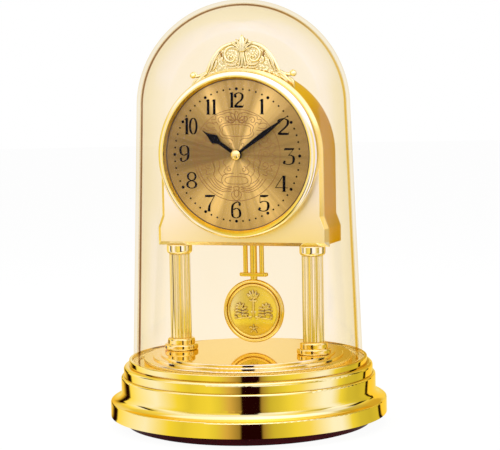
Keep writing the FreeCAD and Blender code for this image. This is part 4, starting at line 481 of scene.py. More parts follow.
def neighbour(points, i, closed):
    """The point at i, counted on round a closed path, or held at the ends of an open one."""
    return points[i % len(points) if closed else max(0, min(len(points) - 1, i))]


def smooth_path(points, steps=8, closed=False):
    """A Catmull-Rom curve through the points; every point may carry further numbers, such as widths."""
    out = []
    for i in range(len(points) if closed else len(points) - 1):
        four = [neighbour(points, i + k, closed) for k in (-1, 0, 1, 2)]
        for step in range(steps):
            t = step / steps
            out.append(tuple(
                0.5 * (2 * b + (c - a) * t + (2 * a - 5 * b + 4 * c - d) * t * t
                       + (3 * b - a - 3 * c + d) * t ** 3)
                for a, b, c, d in zip(*four)))
    return out if closed else [*out, tuple(points[-1])]


def sideways(path, closed=False):
    """The unit vector to the path's left at each of its points."""
    out = []
    for i in range(len(path)):
        before, after = neighbour(path, i - 1, closed), neighbour(path, i + 1, closed)
        along = Vector((after[0] - before[0], after[1] - before[1]))
        along = along.normalized() if along.length > 1e-9 else Vector((1.0, 0.0))
        out.append(Vector((-along.y, along.x)))
    return out


def oval(x, h, half_width, half_height, count=12):
    return [(x + half_width * math.cos(TAU * k / count), h + half_height * math.sin(TAU * k / count))
            for k in range(count)]


def clock_arc(radius, degrees):
    """Points on a circle, their angles counted clockwise from the top."""
    return [(radius * math.sin(math.radians(d)), radius * math.cos(math.radians(d))) for d in degrees]


def spiral(x, h, start_radius, end_radius, start_angle, turns, thick_start, thick_end, steps):
    """Points (x, h, radius) of a scroll that winds from its outer end to its eye. Angles in degrees."""
    out = []
    for i in range(steps + 1):
        t = i / steps
        reach = start_radius + (end_radius - start_radius) * t ** 0.8
        angle = math.radians(start_angle + 360 * turns * t)
        out.append((x + reach * math.cos(angle), h + reach * math.sin(angle),
                    thick_start + (thick_end - thick_start) * t))
    return out


def placed(points, base, side=1):
    """Points (x, h, ...) raised to a base height, and mirrored when the side is -1."""
    return [(p[0] * side, p[1] + base, *p[2:]) for p in points]


def vert(bm, x, depth, h):
    return bm.verts.new((x * MM, depth * MM, h * MM))


def bridge(bm, rows, closed=False):
    """Faces between neighbouring rings of corners; when closed, also from the last ring to the first."""
    for a, b in zip(rows, rows[1:] + rows[:1] if closed else rows[1:]):
        for k in range(len(a)):
            n = (k + 1) % len(a)
            bm.faces.new((a[k], a[n], b[n], b[k]))


def fan(bm, ring, tip):
    for k in range(len(ring)):
        bm.faces.new((ring[k], ring[(k + 1) % len(ring)], tip))


def cap(bm, rows):
    bm.faces.new(rows[0])
    bm.faces.new(rows[-1])


def tube(bm, path, depth, rise=1.0, sides=8, closed=False):
    """A round bar along a path of (x, h, radius); rise scales its thickness in depth."""
    rings = []
    for (x, h, radius), side in zip(path, sideways(path, closed)):
        rings.append([vert(bm, x + side.x * reach, depth - height * rise, h + side.y * reach)
                      for reach, height in oval(0.0, 0.0, radius, radius, sides)])
    bridge(bm, rings, closed)
    if not closed:
        fan(bm, rings[0], vert(bm, path[0][0], depth, path[0][1]))
        fan(bm, rings[-1], vert(bm, path[-1][0], depth, path[-1][1]))


def bead(bm, x, h, depth, radius, rise=1.0, rings=6, sides=12):
    """A rounded knob, flattened or drawn out in depth by its rise."""
    rows = []
    for i in range(1, rings):
        tilt = math.pi * i / rings
        reach = radius * math.sin(tilt)
        rows.append([vert(bm, px, depth - radius * rise * math.cos(tilt), ph)
                     for px, ph in oval(x, h, reach, reach, sides)])
    bridge(bm, rows)
    fan(bm, rows[0], vert(bm, x, depth - radius * rise, h))
    fan(bm, rows[-1], vert(bm, x, depth + radius * rise, h))


def leaf(bm, path, depth, width, lift, groove=0.35):
    """A tapering leaf along a path of (x, h): raised edges, a sunk middle line, pointed at its tip."""
    section = ((-1.0, 0.0), (-0.72, 0.85), (-0.4, 1.0), (0.0, 1.0 - groove), (0.4, 1.0), (0.72, 0.85),
               (1.0, 0.0))
    line = smooth_path(path, 7)
    rows = []
    for i, ((x, h), side) in enumerate(zip(line, sideways(line))):
        t = i / (len(line) - 1)
        half = width * (math.sin(math.pi * min(1.0, 0.18 + 0.82 * t)) ** 0.8 if t < 0.999 else 0.02)
        high = lift * (0.35 + 0.65 * math.sin(math.pi * min(1.0, 0.2 + 0.75 * t)))
        rows.append([vert(bm, x + side.x * across * half, depth - high * up, h + side.y * across * half)
                     for across, up in section])
    bridge(bm, rows)
    cap(bm, rows)


def flat_plate(bm, outline, front, back, bevel):
    """A plate with its outline given in (x, h) and a rounded front edge."""
    area = sum(a[0] * b[1] - b[0] * a[1] for a, b in zip(outline[-1:] + outline, outline))
    inward = 1.0 if area > 0 else -1.0
    levels = ((back, 0.0), (front + bevel, 0.0), (front + bevel * 0.35, bevel * 0.3), (front, bevel))
    rows = [[vert(bm, x + side.x * inset * inward, depth, h + side.y * inset * inward)
             for (x, h), side in zip(outline, sideways(outline, True))] for depth, inset in levels]
    bridge(bm, rows)
    for row in (rows[0], rows[-1]):
        edges = [bm.edges.get(ends) for ends in zip(row, row[1:] + row[:1])]
        bmesh.ops.triangle_fill(bm, use_beauty=True, use_dissolve=False, edges=edges)


def ribbon(bm, path, front, back, closed=False):
    """A flat printed stroke: path of (x, h, half width), a thin prism between two depths."""
    rows = [[vert(bm, x + side.x * s * half, depth, h + side.y * s * half)
             for s, depth in ((-1, back), (-1, front), (1, front), (1, back))]
            for (x, h, half), side in zip(path, sideways(path, closed))]
    bridge(bm, rows, closed)
    if not closed:
        cap(bm, rows)


def disc(bm, x, h, radius, front, back, sides):
    rows = [[vert(bm, px, depth, ph) for px, ph in oval(x, h, radius, radius, sides)]
            for depth in (back, front)]
    bridge(bm, rows)
    cap(bm, rows)


def finish_piece(bm, name, look, body, smooth=True, replaced=()):
    """Makes the drawn mesh a piece of a body, in place of the CAD nodes that it replaces."""
    bmesh.ops.remove_doubles(bm, verts=bm.verts, dist=1e-7)
    bmesh.ops.recalc_face_normals(bm, faces=bm.faces)
    mesh = bpy.data.meshes.new(name)
    bm.to_mesh(mesh)
    bm.free()
    mesh.polygons.foreach_set("use_smooth", [smooth] * len(mesh.polygons))
    mesh.materials.append(LOOKS[look])
    piece = bpy.data.objects.new(name, mesh)
    scene.collection.objects.link(piece)
    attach(piece, body)
    if replaced:
        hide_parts(*replaced)


# Printed dial: numerals and dots

HAIR = 0.24  # half width of a numeral's thin strokes
PRINT_FRONT, PRINT_BACK = FACE - 0.05, FACE + 0.02
DOT_RING, DOT, HOUR_DOT = 38.76, 0.56, 0.92  # radii of the ring of minute dots and of its dots
PRINT_TURN = math.radians(1.07)  # the print isn't quite square to the case
PRINT_LEFT, PRINT_DOWN = 0.3 * MM, 0.18 * MM


class Glyph:
    """Strokes round a centre that lies at a place on the dial."""

    def __init__(self, bm, x, h):
        self.bm, self.x, self.h = bm, x, h

    def bar(self, *path, closed=False):
        """A stroke through points (x, h, half width)."""
        moved = [(self.x + x, self.h + h, half) for x, h, half in path]
        ribbon(self.bm, moved, PRINT_FRONT, PRINT_BACK, closed)

    def stroke(self, points, stem, power, closed=False):
        """A broad-nib stroke: thick where it runs upright, thin where it runs level."""
        line = smooth_path(points, 10, closed)
        self.bar(*((x, h, HAIR + (stem - HAIR) * abs(side.x) ** power)
                   for (x, h), side in zip(line, sideways(line, closed))), closed=closed)

    def ball(self, x, h, radius):
        disc(self.bm, self.x + x, self.h + h, radius, PRINT_FRONT, PRINT_BACK, 20)


# A numeral's top is half its height, its half is half its width

def zero(g, top, half):
    g.stroke(oval(0.0, 0.0, half - 0.62, top - HAIR, 14), 0.66, 2.2, True)


def one(g, top, half):
    g.bar((0.1, -top, 0.84), (0.1, top, 0.8))
    g.bar((-0.4, top - 0.35, 0.34), (-0.95, top - 0.95, 0.26), (-1.35, top - 1.15, 0.12))
    g.bar((-1.2, 0.17 - top, 0.17), (1.4, 0.17 - top, 0.17))


def two(g, top, half):
    g.stroke([(0.55 - half, top - 2.6), (0.75 - half, top - 1.2), (-0.2, top - HAIR), (half - 1.1, top - 1.2),
              (half - 0.85, top - 2.9), (half - 1.7, top - 4.6), (-0.6, 3.0 - top),
              (0.35 - half, 0.75 - top)], 0.74, 1.6)
    g.ball(0.95 - half, top - 2.45, 0.72)
    g.bar((0.1 - half, 0.6 - top, 0.38), (1.4 - half, 0.72 - top, 0.72), (half - 1.2, 0.66 - top, 0.66),
          (half - 0.35, 0.72 - top, 0.44))
    g.bar((half - 0.75, 0.5 - top, 0.36), (half - 0.3, 1.3 - top, 0.2), (half - 0.05, 2.1 - top, 0.08))


def three(g, top, half):
    g.bar((1.0 - half, top - 0.7, 0.66), (half - 1.2, top - 0.62, 0.56), (half - 0.55, top - 0.25, 0.2))
    g.bar((1.1 - half, top - 0.4, 0.28), (0.75 - half, top - 1.6, 0.1))
    g.bar((half - 0.7, top - 0.35, 0.14), (-0.2, 0.75, 0.15))
    g.stroke([(-0.35, 0.55), (0.7, 0.75), (half - 1.2, -0.1), (half - 0.85, -1.9), (half - 1.5, 1.1 - top),
              (-0.1, HAIR - top), (1.0 - half, 0.7 - top), (0.75 - half, 1.6 - top)], 0.76, 1.8)
    g.ball(0.95 - half, 1.75 - top, 0.74)


def four(g, top, half):
    stem = half - 2.3
    g.bar((stem - 0.55, top, 0.2), (0.1 - half, 2.35 - top, 0.2))
    g.bar((-half, 2.35 - top, 0.21), (half, 2.35 - top, 0.21))
    g.bar((stem, top, 0.86), (stem, -top, 0.86))
    g.bar((stem - 1.35, 0.13 - top, 0.13), (stem + 1.35, 0.13 - top, 0.13))


def five(g, top, half):
    g.bar((1.3 - half, top - 0.7, 0.62), (0.6, top - 0.74, 0.74), (half - 1.3, top - 0.5, 0.48),
          (half - 0.75, top - 0.1, 0.14))
    g.bar((1.15 - half, top - 0.3, 0.14), (0.95 - half, 0.35, 0.14))
    g.stroke([(0.95 - half, 0.25), (-0.2, 1.15), (half - 1.4, 0.5), (half - 0.8, -1.6),
              (half - 1.5, 1.1 - top), (-0.2, HAIR - top), (0.9 - half, 0.75 - top),
              (0.7 - half, 1.6 - top)], 0.78, 1.8)
    g.ball(0.9 - half, 1.75 - top, 0.74)


def six(g, top, half, sign=1):
    """A six, or with sign -1 a nine."""
    curve = [(half - 1.0, top - 1.5), (half - 1.5, top - 0.55), (0.4, top - HAIR), (1.3 - half, top - 1.9),
             (0.75 - half, -0.4), (1.2 - half, 1.2 - top), (0.05, HAIR - top), (half - 1.25, 1.2 - top),
             (half - 0.8, 3.0 - top), (half - 1.4, 5.0 - top), (0.1, 5.9 - top), (1.6 - half, 5.0 - top)]
    g.stroke([(sign * x, sign * h) for x, h in curve], 0.72, 1.9)
    g.ball(sign * (half - 1.15), sign * (top - 1.75), 0.7)


def seven(g, top, half):
    g.bar((0.35 - half, top - 0.66, 0.58), (-0.6, top - 0.72, 0.74), (half - 1.3, top - 0.55, 0.52),
          (half - 0.3, top - 0.15, 0.16))
    g.bar((0.5 - half, top - 0.3, 0.3), (0.1 - half, top - 1.75, 0.1))
    g.bar(*smooth_path([(half - 0.4, top - 0.3, 0.15), (0.7, 0.9, 0.26), (-0.45, -1.9, 0.66),
                        (-0.75, -top, 0.92)], 8))


def eight(g, top, half):
    g.stroke(oval(0.0, 0.47 * top, half - 1.05, 0.53 * top - HAIR), 0.62, 1.7, True)
    g.stroke(oval(0.0, -0.51 * top, half - 0.72, 0.49 * top - HAIR), 0.72, 1.7, True)


def nine(g, top, half):
    six(g, top, half, -1)


# Places from the dial's centre, each with its glyphs' shift, height and width
NUMERALS = (
    (0, 32.2, (one, -2.9, 9, 0), (two, 1.6, 9, 6)), (15.7, 28.4, (one, 0, 8.9, 0)),
    (28.9, 16.9, (two, 0, 9.8, 7)), (32.3, -0.3, (three, 0, 9.8, 7.4)),
    (27.8, -16.2, (four, 0, 9.4, 7.6)), (17, -27.8, (five, 0, 9.8, 7)),
    (-0.2, -32.2, (six, 0, 9.8, 6.6)), (-16.5, -28.5, (seven, 0, 9.8, 6.8)),
    (-28.1, -15.2, (eight, 0, 9.8, 7)), (-32.7, 0.6, (nine, 0, 9.8, 6.6)),
    (-28.5, 16.8, (one, -2.7, 9.8, 0), (zero, 1.5, 9.8, 5.4)),
    (-15.8, 28.1, (one, -1.9, 8.9, 0), (one, 1.9, 8.9, 0)))
bm = bmesh.new()
for x, h, *glyphs in NUMERALS:
    for draw, shift, height, width in glyphs:
        draw(Glyph(bm, x + shift, CENTRE_H + h), height / 2, width / 2)
for minute, (x, h) in enumerate(clock_arc(DOT_RING, range(0, 360, 6))):
    disc(bm, x, CENTRE_H + h, DOT if minute % 5 else HOUR_DOT, PRINT_FRONT, PRINT_BACK, 18)


def turn_print(bm):
    """Turns the print clockwise and moves it a little."""
    for v in bm.verts:
        x, h = v.co.x - DIAL_X, v.co.z - DIAL_Z
        v.co.x = DIAL_X + x * math.cos(PRINT_TURN) + h * math.sin(PRINT_TURN) - PRINT_LEFT
        v.co.z = DIAL_Z - x * math.sin(PRINT_TURN) + h * math.cos(PRINT_TURN) - PRINT_DOWN


turn_print(bm)
finish_piece(bm, "dial_print_black", "hand_black", "clock", smooth=False)

# Printed dial: fine engraved ornament round the centre
ENGRAVED_LINES = (
    # Upper cartouche, left empty
    ((0, 17.9), (4.2, 17.7), (7.2, 17.2), (8.9, 15.9), (8.6, 14.4), (9.1, 12.9), (7.4, 11.5), (4, 11.2),
     (0, 11)),
    ((1.6, 19.3), (4.8, 19), (8.2, 18.4), (10.6, 16.6), (10, 14.5), (10.7, 12.2), (8.4, 10.2),
     (4.4, 9.8), (2.2, 8.4)),
    # Leaves beside it
    ((2.4, 24.4), (5.2, 25), (8.6, 23.9), (12.6, 22.9), (13, 20.9), (15.3, 20.9), (14.6, 18.7),
     (12.2, 19.1), (11.4, 17.6)),
    ((13.6, 17.8), (16.4, 18.9), (18.8, 18.1), (18.2, 16.2), (15.9, 15.7), (13.3, 16.2)),
    ((12.4, 14.6), (15.4, 14.7), (18.6, 14.4), (20.4, 15.8), (19.6, 13), (16, 12.6), (12.6, 12.4)),
    # Acanthus at the sides
    ((13.8, 9.8), (14.6, 6.4), (17, 4.6), (20, 5.2), (22.6, 7.4), (24.3, 5.4), (23, 3.2)),
    ((23.9, 3.1), (21.7, 1.2), (24.6, -0.6), (22, -2.6), (23.9, -5), (21, -6), (21.9, -8.8),
     (18.9, -9), (18.8, -11.6), (16.2, -11)),
    ((14.6, 3), (13.6, -0.6), (14.6, -4.4), (13.4, -8.2), (14.2, -11.6), (12.4, -14.6), (9.2, -16.6)),
    ((11.2, 7.8), (10.6, 3.4), (11.6, -1.2), (10.4, -5.4), (11, -9.6), (9, -12.4)),
    ((7.4, 6.6), (6.4, 3.6), (8.2, 1.2), (6.6, -1.8), (8.4, -4.4), (6.4, -7), (7.8, -9.8), (5.6, -11.4)),
    # Lower cartouche, left empty, and the vase below it
    ((0, -12.6), (3.6, -12.7), (6.2, -13.3), (7.2, -14.8), (6.2, -16.3), (3.2, -16.9), (0, -16.9)),
    ((1.8, -10.6), (4.6, -10.9), (8.2, -11.9), (9.2, -14.8), (8, -17.6), (4.8, -18.7), (2.9, -18.3)),
    ((0, -18.4), (1.8, -18.9), (1.4, -20.6), (3, -22.4), (2.7, -24.6), (1.2, -26.2), (0, -26.7)),
    ((0, -20.2), (1.3, -21.6), (1.2, -23.4), (0, -24.8)))
FINE = 0.16  # half width of the engraved lines
OUTER_RING, INNER_ARC, SHORT_ARC = 26.9, 25.2, 15.4  # radii
bm = bmesh.new()


def fine_line(points, closed=False, both=True, steps=8):
    for side in ((1, -1) if both else (1,)):
        path = [(x * side, CENTRE_H + h, FINE) for x, h in smooth_path(points, steps, closed)]
        ribbon(bm, path, FACE - 0.02, FACE + 0.02, closed)


fine_line(oval(0, 0, OUTER_RING, OUTER_RING, 40), closed=True, both=False, steps=4)
fine_line(clock_arc(INNER_ARC, range(200, 291, 10)), both=False)
fine_line(clock_arc(SHORT_ARC, range(62, 119, 8)))
for line in ENGRAVED_LINES:
    fine_line(line)
for k in range(3):  # stems that fan out from the vase
    fine_line([(2.6 + 0.3 * k, -18.9 - 1.15 * k), (7.0 + 0.9 * k, -19.6 - 0.9 * k),
               (11.4 + 1.5 * k, -17.4 - 0.5 * k), (14.2 + 2.1 * k, -13.9 + 0.3 * k)])
for degrees, reach in ((0, 8.6), (24, 8.0), (48, 7.0), (72, 5.6)):  # palmette over the upper cartouche
    across, up = math.sin(math.radians(degrees)), math.cos(math.radians(degrees))
    tip = (reach * across, 18.8 + reach * up * 0.82)
    middle = (tip[0] * 0.62, 18.8 + (tip[1] - 18.8) * 0.66)
    left, right = ((middle[0] - wide * up, middle[1] + wide * across) for wide in (1.15, -1.15))
    root = (1.5 * across, 19.0 + 1.3 * up)
    fine_line([root, left, tip, right, root], both=degrees > 0)
for x, h, radius, angle, turns in (
        (5.4, 21.6, 2.3, 200, 1.15), (9.8, 20.4, 2.4, 150, -1.1), (16.9, 9.4, 2.9, 100, -1.25),
        (20.6, 8.4, 2.0, 80, 1.1), (18.2, 1.2, 3.1, 70, -1.3), (17.6, -5.6, 2.7, 250, 1.25),
        (4.4, -8.2, 1.9, 90, -1.1), (3.6, 6.2, 1.5, 270, 1.0)):
    fine_line([p[:2] for p in spiral(x, h, radius, radius * 0.22, angle, turns, FINE, FINE, 14)], steps=3)
turn_print(bm)
finish_piece(bm, "dial_engraved_ornament", "engraved_line", "clock", smooth=False)

# Dark bead between the dial and its bezel: a painted shadow along the bezel's inner edge
BEAD_RING, BEAD = 44.4, 0.38
bm = bmesh.new()
tube(bm, [(x, CENTRE_H + h, BEAD) for x, h in clock_arc(BEAD_RING, range(0, 360, 3))], FACE, 0.9, closed=True)
finish_piece(bm, "dial_edge_bead", "bead_brown", "clock")

# Crest: a plate with its border, and on it the carved ornament of scrolls, leaves, palmette and knobs
CREST_INNER = 49.6  # radius of its lower edge, which follows the bezel
CREST_OUTLINE = [
    (0, 69.6), (1.4, 68.3), (3, 67), (4.9, 66.2), (8.6, 65.1), (11.7, 64), (14.2, 62.3), (16.6, 60.2),
    (18.7, 57.7), (20.8, 54.2), (22.5, 50), (24.4, 47.6), (26.6, 46.4), (29, 44.6), (31.2, 42.6),
    (31.6, 40), (31.4, 37.8), *clock_arc(CREST_INNER, (37, 31, 25, 19, 13, 7, 0))]
bm = bmesh.new()
outline = CREST_OUTLINE + [(-x, h) for x, h in reversed(CREST_OUTLINE[1:-1])]
flat_plate(bm, placed(outline, CENTRE_H), CREST_FACE, CREST_BACK, 0.5)
finish_piece(bm, "crest_plate", "crest_ground", "clock", smooth=False, replaced=("crest",))

# Steps between points, height off the plate, rise, sides, then points (x, h, radius)
CREST_ROLLS = (
    # Border moulding: one bold roll outside and a fine one inside it
    (6, 0.1, 0.8, 12, (
        (3.4, 66.3, 0.55), (5.8, 65.6, 0.85), (8.8, 64.7, 1), (11.8, 63.5, 1.05), (14.4, 61.6, 1.05),
        (16.8, 59.2, 1.05), (19, 56.2, 1), (20.8, 52.9, 0.95), (22.3, 49.6, 0.8), (23.2, 47.6, 0.5))),
    (6, 0, 0.9, 8, (
        (7.6, 62.7, 0.3), (10.6, 61.7, 0.42), (13.4, 59.8, 0.45), (15.8, 57.4, 0.45), (17.9, 54.3, 0.4),
        (19.4, 51.2, 0.3))),
    # Wide open ring beside the centre, and the stem along it
    (6, -0.1, 1, 10, (
        (2.7, 60.6, 0.45), (3.9, 62.6, 0.62), (6.4, 63.5, 0.72), (9.2, 62.6, 0.78), (10.9, 60.2, 0.8),
        (10.8, 57.4, 0.78), (9, 55.3, 0.72), (6.6, 54.9, 0.6), (5, 56.2, 0.5), (5.3, 57.9, 0.45),
        (6.7, 58.2, 0.4))),
    (5, -0.1, 0.9, 8, ((2.2, 60.2, 0.35), (2.5, 57.4, 0.42), (3.1, 55, 0.42), (4.4, 53.3, 0.35))),
    # Fluted pendant between the scrolls
    (5, -0.3, 1, 8, ((0.245, 60.4, 0.4), (0.35, 57.6, 0.48), (0.45, 54.4, 0.5), (0.5625, 51.9, 0.42))),
    (5, -0.3, 1, 8, ((0.77, 60.4, 0.4), (1.1, 57.6, 0.48), (1.7, 54.4, 0.5), (2.125, 51.9, 0.42))),
    # Shoulder
    (5, 0.2, 0.9, 8, ((24.8, 47.9, 0.6), (26.6, 47, 0.85), (28.4, 46.6, 0.95), (30, 46.4, 0.9))))
# Height off the plate, width, lift, then points (x, h)
CREST_LEAVES = (
    # Inside the border
    (0.1, 1.1, 1.1, ((14.6, 60.6), (17, 57.6), (18.6, 54.4), (19.6, 51.2), (20.9, 48.4))),
    (0.1, 0.95, 1, ((12.1, 57.4), (13, 56.2), (12.8, 54.6), (11.6, 53.2))),
    (0.1, 0.8, 0.9, ((16.2, 55.8), (16.6, 53.4), (17.6, 51.2), (19.4, 49.2))),
    # In the ring, under it, and the fleur at the pendant's foot
    (0, 0.8, 0.9, ((8.6, 55.8), (8.4, 57.6), (7.4, 59))),
    (0.1, 0.8, 1, ((3.6, 53.2), (5.8, 52.8), (8.4, 53.2), (10.8, 54.6))),
    (0.1, 0.7, 0.9, ((2.4, 51.9), (4.8, 51.2), (7.6, 51.2), (10.2, 51.8))),
    (-0.3, 0.7, 0.8, ((0.3, 52.2), (1.6, 51.3), (3.2, 51.6), (4.2, 52.6))),
    # On the shoulder
    (0.1, 1.3, 1.1, ((22.4, 48.4), (24.6, 47.4), (26.6, 45.4), (28.6, 43.6))),
    (0.1, 1.9, 1.2, ((24, 46.2), (26.2, 44.6), (28.4, 42.4), (30.9, 40.4), (31.9, 37.6))),
    (-0.2, 0.95, 0.9, ((28.6, 45), (30.6, 43.2), (31.6, 40.8), (31.2, 38.6))))
# Angle, length and width of the palmette's fingers, which spread from one root
CREST_FINGERS = ((0, 9.7, 2.1), (27, 8.2, 1.15), (54, 8.3, 1.1), (74, 6.6, 0.85))
ROOT_X, ROOT_H = 0.15, 60.4

bm = bmesh.new()
for side in (1, -1):
    for steps, depth, rise, sides, points in CREST_ROLLS:
        tube(bm, smooth_path(placed(points, CENTRE_H, side), steps), CREST_FACE + depth, rise, sides)
    for depth, width, lift, points in CREST_LEAVES:
        leaf(bm, placed(points, CENTRE_H, side), CREST_FACE + depth, width, lift)
    for spread, reach, width in CREST_FINGERS:
        if side == -1 and spread == 0.0:
            continue
        turn = math.radians(spread)
        tip = (ROOT_X + reach * math.sin(turn), ROOT_H + reach * math.cos(turn) + 0.012 * spread)
        bend = (ROOT_X + reach * 0.5 * math.sin(turn * 0.7), ROOT_H + reach * 0.56 * math.cos(turn * 0.8))
        leaf(bm, placed([(ROOT_X, ROOT_H), bend, tip], CENTRE_H, side), CREST_FACE - 0.35 + 0.004 * spread,
             width, 1.3, 0.5)
    bead(bm, 6.9 * side, CENTRE_H + 57.5, CREST_FACE - 0.2, 0.85, 0.9)
    bead(bm, 31.4 * side, CENTRE_H + 47.1, CREST_FACE + 0.1, 1.9)
    knob_scroll = spiral(31.2, 47.0, 2.1, 0.7, 215, -1.25, 0.72, 0.45, 30)
    tube(bm, placed(knob_scroll, CENTRE_H, side), CREST_FACE + 0.2, 1.0, 10)
bead(bm, 0.0, CENTRE_H + 69.5, CREST_FACE - 0.1, 0.85)
finish_piece(bm, "crest_ornament", "carved_gold", "clock", replaced=("crest",))

# Slots of the crest, drawn as short bars of painted shadow on the plate
bm = bmesh.new()
for side in (1, -1):
    slit = placed([(13.5, 60.6, 0.3), (13.2, 59.0, 0.5), (12.9, 57.6, 0.3)], CENTRE_H, side)
    tube(bm, smooth_path(slit, 5), CREST_FACE - 0.35, 0.6)
finish_piece(bm, "crest_slits", "slit_shadow", "clock")

# Bob: embossed palmette, sprays of leaves and a small star on the medallion
bm = bmesh.new()


def bob_roll(points, steps, rise=0.9, off=0.0, side=1):
    tube(bm, smooth_path(placed(points, BOB_H, side), steps), MEDAL_FACE + off, rise)


def bob_leaf(points, width, lift=1.0, side=1):
    leaf(bm, placed(points, BOB_H, side), MEDAL_FACE, width, lift)


def bob_bead(x, h, off, radius):
    bead(bm, x, BOB_H + h, MEDAL_FACE + off, radius, 0.9, 5, 8)


bob_roll([(0, 6.2, 0.55), (0.1, 3.0, 0.6), (0, -0.5, 0.7), (0, -3.2, 0.5)], 6, 1.1)
bob_roll([(-2.0, 5.6, 0.3), (0, 5.1, 0.42), (2.0, 5.6, 0.3)], 5, off=-0.1)
for spread in (-58, -30, 0, 30, 58):
    across, up = math.sin(math.radians(spread)), math.cos(math.radians(spread))
    bob_leaf([(0.2 * across, 6.4), (2.0 * across, 6.6 + 1.9 * up), (3.7 * across, 6.8 + 4.2 * up)], 0.75)
for x, h in clock_arc(1.2, range(0, 360, 72)):
    bob_bead(x, 8.2 + h, -0.1, 0.42)
bob_bead(0, 8.2, -0.25, 0.5)
SPRAY_ROLLS = (((1, -3.4, 0.35), (4, -4, 0.42), (7.2, -4.6, 0.4), (9.8, -4.9, 0.25)),
               ((6.2, -3.6, 0.35), (6.4, -1, 0.35), (6.2, 1.6, 0.3)))
# Root, tip and width of the spray's leaves
SPRAY_LEAVES = (
    (6.3, 1.6, 8.8, 4.4, 0.7), (6.3, 1.4, 5, 4.6, 0.7), (6.4, 1, 9.8, 2.2, 0.75),
    (6.2, 0.8, 3.4, 2.6, 0.7), (6.3, -0.4, 10.2, 0, 0.75), (6.3, -0.6, 3, 0.4, 0.7),
    (6.3, -1.8, 10, -2.2, 0.75), (6.3, -2, 2.6, -1.8, 0.7), (6.3, 1.9, 7, 5.4, 0.6),
    (3.6, -3.6, 4.4, -1.6, 0.6), (8.6, -4.4, 9.9, -2.9, 0.6))
for side in (1, -1):
    for points in SPRAY_ROLLS:
        bob_roll(points, 5, side=side)
    for x0, h0, x1, h1, width in SPRAY_LEAVES:
        middle = ((x0 + x1) / 2 + (h1 - h0) * 0.12, (h0 + h1) / 2 + (x1 - x0) * 0.1)
        bob_leaf([(x0, h0), middle, (x1, h1)], width * 1.1, side=side)
    for x, h, radius in ((7.0, 2.4, 0.55), (7.8, -1.2, 0.5), (4.9, 0.2, 0.45)):
        bob_bead(x * side, h, -0.2, radius)
    tube(bm, placed(spiral(1.9, -4.4, 1.3, 0.4, 150, -1.0, 0.3, 0.2, 16), BOB_H, side), MEDAL_FACE, 0.9)
    bob_leaf([(0.2, -9.6), (1.5, -8.7), (2.9, -9.0)], 0.55, 0.65, side)
    bob_leaf([(0.2, -10.0), (1.2, -10.9), (2.3, -12.0)], 0.5, 0.65, side)
bob_leaf([(0, -9.4), (0.05, -8.0), (0, -6.6)], 0.5, 0.65)
bob_bead(0, -9.8, -0.15, 0.5)
MEDAL_RADIUS, MEDAL_SWELL = 14.9, 0.5
for v in bm.verts:
    # The palmette and the sprays spread outwards a little, and the star moves down
    out, rise = abs(v.co.x / MM), v.co.z / MM - BOB_H
    if rise > 4.6 and out < 4.5:
        v.co.x, v.co.z = v.co.x * 1.25, (BOB_H + 5.4 + (rise - 4.6) * 1.2) * MM
    elif rise > -6.0 and out > 2.2:
        v.co.x = math.copysign((2.2 + (out - 2.2) * 1.28) * MM, v.co.x)
    elif rise < -6.0:
        v.co.z -= 1.3 * MM
    # The medallion lies deeper towards its edge
    v.co.y += MEDAL_SWELL * MM * ((v.co.x / MM) ** 2 + (v.co.z / MM - BOB_H) ** 2) / MEDAL_RADIUS ** 2
finish_piece(bm, "bob_relief", "bob_relief_gold", "pendulum")

# Bob's front rim: two rolled rings with a groove between them, from a section of (radius, depth)
bm = bmesh.new()
rim_section = smooth_path([
    (14.95, 12.6), (14.95, 11.7), (15.25, 11), (15.9, 10.75), (16.5, 11.1), (16.75, 11.65), (17, 11.1),
    (17.7, 10.55), (18.5, 10.75), (19.1, 11.4), (19.25, 12.2), (19.1, 12.75), (18, 12.8), (16, 12.8)],
    4, True)
bridge(bm, [[vert(bm, radius * x, depth, BOB_H + radius * h) for radius, depth in rim_section]
            for x, h in clock_arc(1.0, [3.75 * k for k in range(96)])], closed=True)
finish_piece(bm, "bob_rim_rings", "bob_rim_gold", "pendulum", replaced=("bob_front_rim",))

# Rear lid: a row of low ribs near its top to grip it by
bm = bmesh.new()
rib_x = (door_low.x + door_high.x) / 2 / MM
for k in range(5):
    rib_h = door_high.z / MM - 4.0 - 1.9 * k
    rib = [(rib_x - 9.0, rib_h, 0.35), (rib_x, rib_h, 0.55), (rib_x + 9.0, rib_h, 0.35)]
    tube(bm, smooth_path(rib, 6), door_high.y / MM, sides=10)
finish_piece(bm, "door_grip_ribs", "back_plastic", "back_door")


# Floor, light and the tent that the polished metal mirrors

def stage_object(bm, name, look):
    mesh = bpy.data.meshes.new(name)
    bm.to_mesh(mesh)
    bm.free()
    mesh.materials.append(look)
    thing = bpy.data.objects.new(name, mesh)
    scene.collection.objects.link(thing)
    return thing


WHITE_LIGHT = (1.0, 1.0, 1.0)
FLOOR_RADIUS = 6.0
FLOOR_GLOW, GLOW_SHARE = 1.03, 0.92  # for rays that see the floor
SKY_SOFT, SKY_SEEN = 0.55, 1.0  # the sky's brightness as a light and as a background
floor_look = Nodes(bpy.data.materials.new("floor"))
matte = floor_look.add("BsdfDiffuse", {"Color": (0.82, 0.82, 0.81)})
glow = floor_look.add("Emission", {"Color": WHITE_LIGHT, "Strength": FLOOR_GLOW})
floor_look.mix(floor_look.times(floor_look.seen(), GLOW_SHARE), matte, glow)
bm = bmesh.new()
bmesh.ops.create_circle(bm, cap_ends=True, segments=96, radius=FLOOR_RADIUS)
stage_object(bm, "floor", floor_look.data)

world = Nodes(bpy.data.worlds.new("world"), "OutputWorld")
sky_light = world.fit(world.seen(), 0.0, 1.0, SKY_SOFT, SKY_SEEN)
world.show(world.add("Background", {"Color": WHITE_LIGHT, "Strength": sky_light}))
scene.world = world.data

